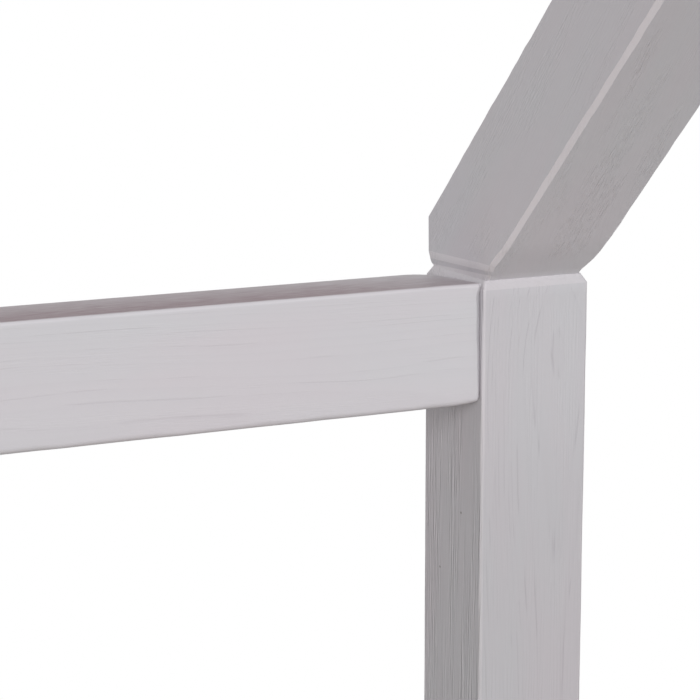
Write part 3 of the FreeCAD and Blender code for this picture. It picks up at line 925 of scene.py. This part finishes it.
@dataclass
class Posts:
    """The four corner posts: square, softly rounded, with a bevel round the top."""

    finishes: Finishes
    joinery: Joinery
    edge_radius: float = 1.8        # mm
    wobble: Size = (0.03, 0.28)     # of that radius: its length, m, and how strong it is
    top_bevel_in: float = 2.9
    top_bevel_down: float = 5.0
    top_arris: float = 2.4
    top_clear: float = 9.0          # the edges' rounds are even this near the top
    foot_bevel: float = 1.5
    loops: int = 94                 # steps between the loops of edges that sanding moves
    loops_from: float = 0.005       # m from the foot
    loops_over: float = 1.130       # m
    top_glaze: float = 0.6          # built-up glaze and painted highlight on the top's bevel
    edge_glaze: float = 0.45        # and on the upright edges
    sawings: dict[Corner, Sawing] = field(default_factory=lambda: {
        Corner.BACK_RIGHT: Sawing((15.0, 66.0), (0.2, -0.8), 0.35, 0.895, (4.6, 0.7), 1.0, 0.8, 0.51),
        Corner.FRONT_RIGHT: Sawing((-70.0, 30.0), (0.6, 1.1), 3.1, 0.97),
        Corner.BACK_LEFT: Sawing((50.0, -72.0), (-0.9, 0.7), 6.7, 0.98),
        Corner.FRONT_LEFT: Sawing((14.0, -90.0), (1.2, -0.8), 9.2, 0.96)})
    # The back right post has longer fibres than the other timbers, and two pin knots inside.
    long_fibres: GrowthRings = GrowthRings(ring_spacing=1.05, fibre=(34.0, 1.15), patch=(300.0, 9.0),
                                           patch_level=0.36)
    pin_knots: tuple[tuple[float, float, float], ...] = (
        (1.0100, 0.4840, 1.0086), (1.0100, 0.5095, 0.9691))

    def build(self) -> None:
        """Builds the four posts."""
        knotty = WhiteGlazedPine("white_glazed_pine_with_pin_knots", self.long_fibres, self.pin_knots)
        for corner in Corner:
            self.build_one(corner, knotty.material if corner is Corner.BACK_RIGHT else None)

    def build_one(self, corner: Corner, material: Optional[Material]) -> None:
        """Builds the post of one corner.

        Args:
            corner: the corner.
            material: its finish, if that isn't the shared glaze.
        """
        timber = Timber(f"post_{corner.label}", Run.UPRIGHT.axes, self.sawings[corner])
        bm, top_z, foot_z = timber.bm, timber.high.z, timber.low.z
        top = next(face for face in bm.faces if face.normal.z > 0.9)
        for vert in top.verts:
            vert.co.z -= self.top_bevel_down * MM
        raised = bmesh.ops.extrude_face_region(bm, geom=[top])["geom"]
        rim = [item for item in raised if isinstance(item, BMVert)]
        bmesh.ops.delete(bm, geom=[top], context="FACES_ONLY")
        bmesh.ops.translate(bm, vec=Z * self.top_bevel_down * MM, verts=rim)
        shrink = 1 - 2 * self.top_bevel_in * MM / (timber.high.x - timber.low.x)
        bmesh.ops.scale(bm, vec=(shrink, shrink, 1.0), verts=rim,
                        space=Matrix.Translation(-timber.middle))
        timber.round_over(self.edge_radius, lambda a, b: abs(a.z - b.z) > 1 * MM)
        arris = top_z - self.top_bevel_down * MM
        timber.round_over(self.top_arris, lambda a, b: max(abs(a.z - arris), abs(b.z - arris)) < NEAR)
        timber.round_over(self.foot_bevel, lambda a, b: max(a.z, b.z) < foot_z + 10 * NEAR, 1)
        timber.cross_cuts(Z, timber.low, [self.loops_from + self.loops_over * index / self.loops
                                          for index in range(self.loops + 1)])
        half = (timber.high.x - timber.low.x) / 2

        def sanded(place: Vector) -> Vector:
            """Varies the round of the upright edges a little.

            Args:
                place: a vertex.

            Returns:
                Its new place.
            """
            offset = place - timber.middle
            insets = [half - abs(offset.x), half - abs(offset.y)]
            if max(insets) > self.edge_radius * MM * 1.05 or top_z - place.z < self.top_clear * MM:
                return place
            factor = sanding(place, *self.wobble)
            x, y = (half - inset * factor for inset in insets)
            return timber.middle + Vector((math.copysign(x, offset.x), math.copysign(y, offset.y),
                                           offset.z))

        timber.reshape(sanded)
        joints = self.joinery
        bores = [*joints.eave(), *joints.bed_side(), *joints.bed_end(), *joints.foot(),
                 joints.glide_pin()]
        # The up-facing top bevel gets more painted highlight and built-up glaze than the upright edges.
        timber.finish(self.finishes, [bore.mirrored(corner) for bore in bores], material,
                      lambda normal: self.top_glaze if normal.z > 0.3 else self.edge_glaze)


@dataclass
class Rails:
    """Eave rails, side rails, end rails and ridge beam: flat timbers with well rounded edges."""

    finishes: Finishes
    joinery: Joinery
    round_radius: float = 4.4       # mm; the next values scale it
    long_top_inner: float = 0.6
    long_top_outer: float = 0.35
    long_bottom: float = 0.85
    end_upright_top: float = 1.1    # the end's upright edge is rounder near the top
    end_upright_foot: float = 0.75
    end_top: float = 0.4
    end_bottom: float = 1.1
    end_flat: float = 0.8           # 1 makes the end's upright edges flat bevels
    end_wobble: Size = (0.011, 0.2)             # of the rounds: its length, m, and strength
    long_wobble: Size = (0.022, 0.22)
    # Loops of edges that sanding moves: these distances from each end, m, and evenly further in.
    end_loops: tuple[float, ...] = (0.0086, 0.012, 0.016, 0.021, 0.027, 0.034)
    loops_from: float = 0.045
    loop_step: float = 0.014
    loop_rows: int = 9
    top_glaze: float = 0.35         # built-up glaze and painted highlight on upper edges
    low_glaze: float = 0.1          # and on lower ones
    worn_top: float = 0.95          # how thin an eave rail's glaze is, with painted shade, on its top at its inner edge
    worn_less: float = 0.36         # less at its outer edge
    worn_more: float = 0.3          # and more at the inner edge itself
    worn_edge: float = 12.0         # mm, over which
    worn_near: float = 90.0         # mm from a post, within which there is less thin glaze and painted shade
    dub_length: float = 30.0        # an eave rail's top is sanded down over this length
    dub_outer: float = 3.2          # and so deep, at its end, along the outer edge
    dub_inner: float = 0.3          # and along the inner edge
    dub_bottom: float = 1.6         # and its bottom so deep
    dub_curve: float = 2.2          # how late it sets in
    dub_rise: float = 0.6           # it begins this far up or down from the rail's middle
    ledger_screws: int = 7
    ledger_screw_end: float = 110.0
    ledger_screw: Size = (2.5, 60.0)            # radius and length
    slat_bottom: float = 195.0
    ledger_height: float = 40.0
    ledger_thickness: float = 27.0
    ledger_half: float = 1005.0
    eave_sawings: dict[str, Sawing] = field(default_factory=lambda: {
        "back": Sawing((96.0, -14.0), (0.25, -1.2), 3.45, 1.0, (0.3, 0.5), 0.6),
        "front": Sawing((-80.0, 12.0), (0.3, -0.4), 5.0, 0.97)})

    def ledger_screw_bores(self) -> list[Bore]:
        """Holes of the screws that hold the back ledger."""
        reach = self.ledger_half - self.ledger_screw_end
        step = 2 * reach / (self.ledger_screws - 1)
        y, z = self.joinery.inner_y - self.ledger_thickness, self.slat_bottom - self.ledger_height / 2
        return [self.joinery.screw(self.joinery.point(-reach + index * step, y, z), Y,
                                   *self.ledger_screw) for index in range(self.ledger_screws)]

    def build(self) -> None:
        """Builds all seven."""
        joints = self.joinery
        for side, corner in SIDES.items():
            self.build_one(f"eave_rail_{side}", Run.ALONG_BED, self.eave_sawings[side],
                           self.at_ends(joints.eave(), corner, Corner.BACK_LEFT), True)
        for number, (side, corner) in enumerate(SIDES.items(), 21):
            bores = self.at_ends(joints.bed_side(), corner, Corner.BACK_LEFT)
            bores += [bore.mirrored(corner) for bore in self.ledger_screw_bores()]
            self.build_one(f"side_rail_{side}", Run.ALONG_BED, Sawing.any_board(number), bores)
        for number, (end, corner) in enumerate(ENDS.items(), 31):
            self.build_one(f"end_rail_{end}", Run.ACROSS_BED, Sawing.any_board(number),
                           self.at_ends(joints.bed_end(), corner, Corner.FRONT_RIGHT))
        self.build_one("ridge_beam", Run.ALONG_BED, Sawing.any_board(41),
                       [bore.mirrored(corner) for corner in Corner for bore in joints.ridge()])

    def at_ends(self, bores: Sequence[Bore], corner: Corner, other: Corner) -> list[Bore]:
        """A joint's bores at one corner, and again at a rail's other end.

        Args:
            bores: the bores at the back right corner.
            corner: the corner of the rail's one end.
            other: the corner that the back right one is mirrored to along the rail.

        Returns:
            The bores at both ends.
        """
        here = [bore.mirrored(corner) for bore in bores]
        return here + [bore.mirrored(other) for bore in here]

    def build_one(self, node: str, run: Run, sawing: Sawing, bores: Iterable[Bore],
                  dubbed: bool = False) -> None:
        """Builds one rail.

        Args:
            node: its CAD node.
            run: direction of its grain.
            sawing: how it was sawn.
            bores: its holes.
            dubbed: whether its top is sanded down at the ends, as on an eave rail.
        """
        timber = Timber(node, run.axes, sawing)
        along, _, up = run.axes
        size = timber.high - timber.low
        length, height = size.dot(along), size.dot(up)
        timber.round_over(self.round_radius, lambda a, b: True, 5)
        even = length - 2 * self.loops_from
        steps = round(even / self.loop_step)
        timber.cross_cuts(along, timber.low, sorted([
            *self.end_loops, *(self.loops_from + even * index / steps for index in range(steps + 1)),
            *(length - place for place in self.end_loops)]))
        timber.cross_cuts(up, timber.low, [height * row / self.loop_rows
                                           for row in range(1, self.loop_rows)])
        timber.reshape(lambda place: self.sanded(timber, run, place, dubbed))

        def edges(normal: Vector) -> float:
            """More built-up glaze and painted highlight on upper edges than on the ends' and lower ones.
            """
            level = self.top_glaze if normal.z > 0 else self.low_glaze
            return 0.0 if abs(normal.dot(along)) > 0.15 else level

        def rubbed(place: Vector, normal: Vector) -> float:
            """Share of thin glaze and painted shade on an eave rail's top and on its ends at the posts.

            Args:
                place: a vertex.
                normal: its normal.

            Returns:
                The share of thin glaze and painted shade, from 0 to 1.
            """
            if not dubbed:
                return 0.0
            outer = abs(place.y) - min(abs(timber.low.y), abs(timber.high.y))
            end = length / 2 - abs((place - timber.middle).dot(along))
            thinned_and_shaded = self.worn_top - self.worn_less * outer / size.y \
                + self.worn_more * max(0.0, 1 - outer / (self.worn_edge * MM))
            # Painted shade with thin glaze: on the ends where they meet the posts, and on the top, most
            # at its inner edge and less near the posts.
            joint = held((abs(normal.dot(along)) - 0.74) / 0.2)
            return max(joint, held((normal.z - 0.9) / 0.09) * thinned_and_shaded
                       * min(1.0, 0.5 + 0.5 * end / (self.worn_near * MM)))

        timber.finish(self.finishes, bores, edges=edges, thin=rubbed)

    def sanded(self, timber: Timber, run: Run, place: Vector, dubbed: bool) -> Vector:
        """Moves one vertex as hand sanding would.

        Args:
            timber: the rail.
            run: direction of its grain.
            place: the vertex.
            dubbed: whether its top is sanded down at the ends.

        Returns:
            The vertex's new place.
        """
        offset = place - timber.middle
        half = (timber.high - timber.low) / 2
        _, across, up = run.axes
        rise = offset.dot(up) / half.dot(up)
        insets = [half.dot(axis) - abs(offset.dot(axis)) for axis in run.axes]
        reach = self.round_radius * MM * 1.05
        close = [max(0.0, 1 - inset / reach) for inset in insets]
        upright = self.end_upright_foot \
            + (self.end_upright_top - self.end_upright_foot) * (rise + 1) / 2
        outside = offset.dot(across) * timber.middle.dot(across) > 0
        top_edge = self.long_top_outer if outside else self.long_top_inner
        long_edge = top_edge if rise > 0 else self.long_bottom
        across_end = close[0] * close[1]
        shares = [(across_end, upright * sanding(place, *self.end_wobble)),
                  (close[0] * close[2], self.end_top if rise > 0 else self.end_bottom),
                  (close[1] * close[2], long_edge * sanding(place, *self.long_wobble))]
        total = sum(share for share, _ in shares)
        if total > 0:
            factor = sum(share * value for share, value in shares) / total
            flat = self.end_flat * across_end / total
            factor *= 1 + flat * (self.round_radius * MM / max(insets[0] + insets[1], 1e-6) - 1)
            insets = [inset * factor if inset < reach else inset for inset in insets]
            place = timber.middle.copy()
            for axis, inset in zip(run.axes, insets):
                place += axis * math.copysign(half.dot(axis) - inset, offset.dot(axis))
        if dubbed and insets[0] < self.dub_length * MM and abs(rise) > self.dub_rise:
            share = (1 - insets[0] / (self.dub_length * MM)) ** self.dub_curve
            outer = held((abs(place.y) - abs(timber.middle.y)) / (2 * half.y) + 0.5)
            depth = self.dub_inner + (self.dub_outer - self.dub_inner) * outer \
                if rise > 0 else -self.dub_bottom
            place = place - up * depth * MM * share * min(1.0, (abs(rise) - self.dub_rise) / 0.3)
        return place


@dataclass
class Roof:
    """The two pairs of rafters: level foot, plumb tail and plumb apex, with flat-bevelled edges."""

    finishes: Finishes
    joinery: Joinery
    pitch: float = math.radians(44.0)
    depth: float = 71.0             # mm, square to the slope
    width: float = 70.0
    spare: float = 0.4              # m that the saw cuts take off
    foot_lead: float = 1.4
    tail_inset: float = 3.0
    tail_round: float = 3.8         # under the tail
    tail_side_round: float = 1.2
    tail_top_round: float = 2.5
    foot_ease: float = 2.9          # the foot is eased back so far, to meet the post's bevel
    foot_ease_side: float = 11.0    # over this height at the sides
    foot_ease_under: float = 30.0   # and over this length underneath
    foot_ease_curve: float = 1.5    # how late it sets in at the sides
    edge_bevel: float = 2.4
    wobble: Size = (0.011, 0.36)    # of that bevel: its length, m, and how strong it is
    loops: int = 80                 # of edges, which sanding moves
    loops_from: float = 0.004       # m from the foot
    loop_step: float = 0.0085
    foot_loops: tuple[float, ...] = (0.0012, 0.0026, 0.0045, 0.009)      # m above the foot
    sawings: dict[Corner, Sawing] = field(default_factory=lambda: {
        Corner.BACK_RIGHT: Sawing((30.0, -92.0), (-5.0, 6.0), 0.6, 1.0, (1.2, 2.4), 0.3),
        Corner.FRONT_RIGHT: Sawing((-60.0, 55.0), (1.1, -0.6), 4.4, 0.97),
        Corner.BACK_LEFT: Sawing((75.0, -20.0), (-0.8, 1.2), 7.9, 0.96),
        Corner.FRONT_LEFT: Sawing((-20.0, -85.0), (0.5, 0.9), 11.3, 0.98)})

    def build(self) -> None:
        """Builds the four rafters."""
        for corner in Corner:
            self.build_one(corner)

    def build_one(self, corner: Corner) -> None:
        """Builds the rafter of one corner: a straight timber brought to length by three saw cuts.

        Args:
            corner: the corner.
        """
        joints = self.joinery
        slope = Vector((0, -math.cos(self.pitch), math.sin(self.pitch)))
        outward = Vector((0, math.sin(self.pitch), math.cos(self.pitch)))
        axes = tuple(corner.mirror(axis) for axis in (slope, X, outward))
        timber = Timber(f"rafter_{corner.label}", axes, self.sawings[corner])
        foot = joints.point(joints.inner_x + self.width / 2, joints.inner_y - self.foot_lead,
                            joints.post_top)
        run = -foot.y / slope.y
        centre = foot + slope * run / 2 + outward * self.depth / 2 * MM
        turn = Matrix((slope, X, outward)).transposed().to_4x4()
        timber.block(Vector((run + self.spare, self.width * MM, self.depth * MM)),
                     Matrix.Translation(centre) @ turn)
        timber.round_over(self.edge_bevel, lambda a, b: (a - b).length > 0.3, 1)
        tail_y = (joints.inner_y + joints.post_size - self.tail_inset) * MM
        timber.saw(foot, -Z)
        timber.saw(Vector((0, tail_y, 0)), Y)
        timber.saw(Vector((0, 0, 0)), -Y)

        def at_tail(a: Vector, b: Vector) -> bool:
            """Whether both ends of an edge are on the tail."""
            return min(a.y, b.y) > tail_y - NEAR

        timber.round_over(self.tail_round,
                          lambda a, b: at_tail(a, b) and max(a.z, b.z) < foot.z + NEAR, 5)
        timber.round_over(self.tail_side_round,
                          lambda a, b: at_tail(a, b) and abs(a.z - b.z) > 1 * MM, 2)
        timber.round_over(self.tail_top_round, lambda a, b: at_tail(a, b)
                          and abs(a.z - b.z) < NEAR and a.z > foot.z + 20 * MM, 3)
        timber.cross_cuts(slope, foot, [self.loops_from + self.loop_step * index
                                        for index in range(self.loops)])
        timber.cross_cuts(Z, foot, self.foot_loops)

        def sanded(place: Vector) -> Vector:
            """Varies the width of the long bevels, and eases the foot.

            Args:
                place: a vertex.

            Returns:
                Its new place.
            """
            offset = place - foot
            inset = self.width / 2 * MM - abs(offset.x)
            height = offset.dot(outward)
            below = min(height, self.depth * MM - height)
            lower = height < self.depth * MM / 2
            moved = place.copy()
            if max(inset, below) < self.edge_bevel * MM * 1.05 \
                    and 1 * MM < place.y < tail_y - 5 * MM:
                change = sanding(place, *self.wobble) - 1
                moved += outward * below * change * (1 if lower else -1) \
                    - X * math.copysign(inset * change, offset.x)
            near_foot = max(0.0, 1 - (place.z - foot.z) / (self.foot_ease_side * MM))
            moved.x -= offset.x * near_foot ** self.foot_ease_curve * self.foot_ease / (self.width / 2)
            if lower:
                near_foot = max(0.0, 1 - offset.dot(slope) / (self.foot_ease_under * MM))
                ease = (self.foot_lead + self.foot_ease) * math.sin(self.pitch)
                moved += outward * near_foot * ease * MM * (1 - height / (self.depth / 2 * MM))
            if abs(place.z - foot.z) < NEAR:
                moved += slope * ((foot.z - moved.z) / slope.z)
            return moved

        timber.reshape(sanded)
        bmesh.ops.scale(timber.bm, vec=corner.mirror(Vector((1, 1, 1))), verts=timber.bm.verts)
        bores = [*joints.foot(), *joints.ridge(), *joints.apex()]
        # The long bevelled edges get built-up glaze and a painted highlight.
        timber.finish(self.finishes, [bore.mirrored(corner) for bore in bores], flats=(Y, Z),
                      edges=lambda normal: 1.0 if abs(normal.dot(axes[0])) < 0.2 else 0.0)


@dataclass
class SlattedBase:
    """Ledger strips, sixteen bare slats and the two webbing straps that join them."""

    finishes: Finishes
    joinery: Joinery
    rails: Rails
    slat_count: int = 16
    slat_radius: float = 3.0        # mm
    slat_screw: Size = (2.0, 35.0)  # radius and length
    ledger_bevel: float = 1.5
    end_bevel: float = 0.7
    strap_bevel: float = 0.4
    strap_sag: float = 2.2          # between two slats
    strap_sections: int = 8         # per slat pitch

    def build(self) -> None:
        """Builds the base."""
        for side, corner in SIDES.items():
            self.build_ledger(side, corner)
            self.build_strap(side)
        for number in range(1, self.slat_count + 1):
            self.build_slat(number)

    def slat_screws(self) -> list[Bore]:
        """Screw holes of the end slats, at all four corners."""
        low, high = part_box(f"slat_{self.slat_count:02d}")
        y = (self.joinery.inner_y - self.rails.ledger_thickness / 2) * MM
        bore = self.joinery.screw(Vector(((low.x + high.x) / 2, y, high.z)), -Z, *self.slat_screw)
        return [bore.mirrored(corner) for corner in Corner]

    def ease_ends(self, timber: Timber, along: Vector) -> None:
        """Takes the sharpness off the ends of a strip."""
        end = timber.high.dot(along) - NEAR
        timber.round_over(self.end_bevel,
                          lambda a, b: min(abs(a.dot(along)), abs(b.dot(along))) > end, 1)

    def build_ledger(self, side: str, corner: Corner) -> None:
        """Builds one ledger strip.

        Args:
            side: back or front.
            corner: a corner on that side.
        """
        timber = Timber(f"ledger_{side}", Run.ALONG_BED.axes, Sawing.any_board(51 + len(side)))
        timber.round_over(self.ledger_bevel, lambda a, b: abs(a.x - b.x) > 1.0, 2)
        self.ease_ends(timber, X)
        bores = [bore.mirrored(corner) for bore in self.rails.ledger_screw_bores()]
        bores += [bore for bore in self.slat_screws() if bore.start.y * timber.middle.y > 0]
        timber.finish(self.finishes, bores)

    def build_slat(self, number: int) -> None:
        """Builds one slat, with screw holes if it is the first or last.

        Args:
            number: its number from the left.
        """
        timber = Timber(f"slat_{number:02d}", Run.ACROSS_BED.axes, Sawing.any_board(60 + number))
        timber.round_over(self.slat_radius, lambda a, b: abs(a.y - b.y) > 0.5)
        self.ease_ends(timber, Y)
        bores = self.slat_screws() if number in (1, self.slat_count) else []
        timber.finish(self.finishes, [bore for bore in bores if bore.start.x * timber.middle.x > 0],
                      self.finishes.bare)

    def build_strap(self, side: str) -> None:
        """Builds one strap: a thin tape that hangs a little between its slats.

        Args:
            side: back or front.
        """
        node = f"slat_strap_{side}"
        tape = Timber(node, Run.ALONG_BED.axes, Sawing((0.0, 0.0)))
        tape.round_over(self.strap_bevel, lambda a, b: abs(a.x - b.x) > 1.0, 2)
        first, last = (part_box(f"slat_{number:02d}") for number in (1, self.slat_count))
        start, end = (first[0].x + first[1].x) / 2, (last[0].x + last[1].x) / 2
        pitch = (end - start) / (self.slat_count - 1)
        half_slat = (first[1].x - first[0].x) / 2
        steps = (self.slat_count - 1) * self.strap_sections
        tape.cross_cuts(X, X * start, [index * pitch / self.strap_sections
                                       for index in range(steps + 1)])

        def sagged(place: Vector) -> Vector:
            """Lowers a point that lies between two slats."""
            free = ((place.x - start) % pitch - half_slat) / (pitch - 2 * half_slat)
            drop = math.sin(math.pi * free) ** 2 if 0 < free < 1 else 0.0
            return place - Z * self.strap_sag * MM * drop

        tape.reshape(sagged)
        piece = new_piece(f"{node}_tape", tape.bm, self.finishes.tape)
        piece.data.shade_smooth()
        piece.data.set_sharp_from_angle(angle=math.radians(50))
        hang(piece, node, "webbing")


@dataclass
class Hardware:
    """Bolts, nuts, screws, staples, dowels and glides, which keep their CAD shape."""

    finishes: Finishes
    steel_nodes: tuple[str, ...] = ("rail_bolts", "rail_barrel_nuts", "rafter_foot_bolts",
                                    "rafter_foot_nuts", "ridge_bolts", "ridge_barrel_nuts",
                                    "ledger_screws", "slat_screws", "strap_staples")
    dowel_nodes: tuple[tuple[str, Vector], ...] = (
        ("rail_dowels", X), ("rafter_foot_dowels", Z), ("apex_dowels", Y))

    def build(self) -> None:
        """Gives each node its finish."""
        for node in self.steel_nodes:
            self.dress(node, self.finishes.steel)
        for node, along in self.dowel_nodes:
            self.dress(node, BeechDowel(f"turned_beech_{node}", along).material)
        self.dress("post_glides", self.finishes.plastic)

    def dress(self, node: str, material: Material) -> None:
        """Puts a finish on a CAD node.

        Args:
            node: the node.
            material: its finish.
        """
        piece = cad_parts[node]
        piece.data.materials.clear()
        piece.data.materials.append(material)
        log.info("%s: %s", node, material.name)


# ---- Studio ----

def seen(add: AddNode) -> Node:
    """Adds nodes that give 1 to the camera, a reflection and glass, and 0 to scattered light.

    Args:
        add: adds a node to the material or world.

    Returns:
        The last of them.
    """
    path = add("LightPath").outputs
    mirrored = add("Math", path["Is Glossy Ray"], path["Is Transmission Ray"], operation="MAXIMUM")
    return add("Math", mirrored, path["Is Camera Ray"], operation="MAXIMUM")


@dataclass
class PaleFloor(Finish):
    """Pale matt floor that takes the bed's shadow near it and runs out to white further off."""

    pale: str = "#F4F4F3"
    palest: str = "#F8F8F7"
    # It throws less light up at the bed than so pale a floor would, as one further off does.
    thrown: str = "#BCBCBB"
    stretch: tuple[float, float, float] = (0.62, 1.0, 0.0)      # of the oval that takes the shadow
    shadow_from: float = 0.75       # m from its middle
    shadow_to: float = 1.75

    def paint(self) -> None:
        """Adds the finish's nodes."""
        add, sight = self.add, seen(self.add)
        spot = add("TexCoord").outputs["Object"]
        mottle = add("TexNoise", Vector=spot, Scale=3.0, Detail=4.0)
        pale = add("ValToRGB", mottle, stops=[(0.3, self.pale), (0.7, self.palest)])
        colour = add("Mix", sight, at={6: self.thrown, 7: pale}, data_type="RGBA")
        shader = add("BsdfPrincipled", Base_Color=colour, Roughness=0.9, Specular_IOR_Level=0.0)
        flat = add("VectorMath", spot, self.stretch, operation="MULTIPLY")
        away = add("VectorMath", flat, operation="LENGTH")
        far = add("MapRange", away, self.shadow_from, self.shadow_to, 0.45,
                  interpolation_type="SMOOTHSTEP")
        share = add("Math", far, sight, operation="MULTIPLY")
        white = add("Emission", Color="#FFFFFF", Strength=1.0)
        add("OutputMaterial", Surface=add("MixShader", share, shader, white))


@dataclass
class Studio:
    """Pale floor, white surroundings, soft light and the camera of the photograph."""

    camera_place: tuple[float, float, float] = (0.34136, -0.72108, 1.37196)
    camera_yaw: float = 26.30       # degrees, from +Y towards +X
    camera_dip: float = 10.92
    lens: float = 123.84            # mm, on a sensor 36 mm wide
    floor_half: float = 60.0        # m
    world_level: float = 0.42
    key_level: float = 0.68         # light of a lamp on a face square to it; 1 shows a colour
    fill_level: float = 0.32        # as it is written

    def build(self) -> None:
        """Builds the studio."""
        self.build_camera()
        self.build_world()
        bm = bmesh.new()
        bmesh.ops.create_grid(bm, x_segments=1, y_segments=1, size=self.floor_half)
        new_piece("floor", bm, PaleFloor("pale_floor").material)
        self.add_sun("key_light", Vector((0.38, 0.87, -0.30)), self.key_level, 30.0, True)
        self.add_sun("back_fill", Vector((-0.45, -0.80, -0.12)), self.fill_level, 60.0, False)
        bpy.context.scene.view_settings.view_transform = "Standard"

    def build_camera(self) -> None:
        """Places the camera at the photograph's viewing angle."""
        data = bpy.data.cameras.new("camera")
        data.lens, data.sensor_width = self.lens, 36.0
        camera = bpy.data.objects.new("camera", data)
        camera.location = self.camera_place
        camera.rotation_euler = (math.radians(90 - self.camera_dip), 0.0, math.radians(-self.camera_yaw))
        bpy.context.scene.collection.objects.link(camera)
        bpy.context.scene.camera = camera

    def build_world(self) -> None:
        """White where it is seen, and a plain level of light where it isn't."""
        world = bpy.data.worlds.new("white_surroundings")
        world.use_nodes = True
        world.node_tree.nodes.clear()
        add = partial(add_node, world.node_tree)
        level = add("MapRange", seen(add), To_Min=self.world_level)
        add("OutputWorld", Surface=add("Background", Color="#FFFFFF", Strength=level))
        bpy.context.scene.world = world

    def add_sun(self, name: str, travel: Vector, level: float, spread: float, shines: bool) -> None:
        """Adds a broad soft lamp, far away.

        Args:
            name: its name.
            travel: direction in which its light travels.
            level: its light on a face square to it, as a share of full light.
            spread: its apparent size, degrees.
            shines: whether it shows in glossy surfaces.
        """
        data = bpy.data.lights.new(name, "SUN")
        data.energy, data.angle = level * math.pi, math.radians(spread)
        lamp = bpy.data.objects.new(name, data)
        lamp.rotation_mode = "QUATERNION"
        lamp.rotation_quaternion = travel.to_track_quat("-Z", "Y")
        lamp.location = travel.normalized() * -6.0
        lamp.visible_glossy = shines
        bpy.context.scene.collection.objects.link(lamp)


def main() -> None:
    """Builds the studio and the bed, and reports each piece."""
    logging.basicConfig(level=logging.INFO, format="%(name)s %(message)s")
    Studio().build()
    finishes = Finishes()
    joinery = Joinery()
    Posts(finishes, joinery).build()
    rails = Rails(finishes, joinery)
    rails.build()
    Roof(finishes, joinery).build()
    SlattedBase(finishes, joinery, rails).build()
    Hardware(finishes).build()


if __name__ == "__main__":
    main()
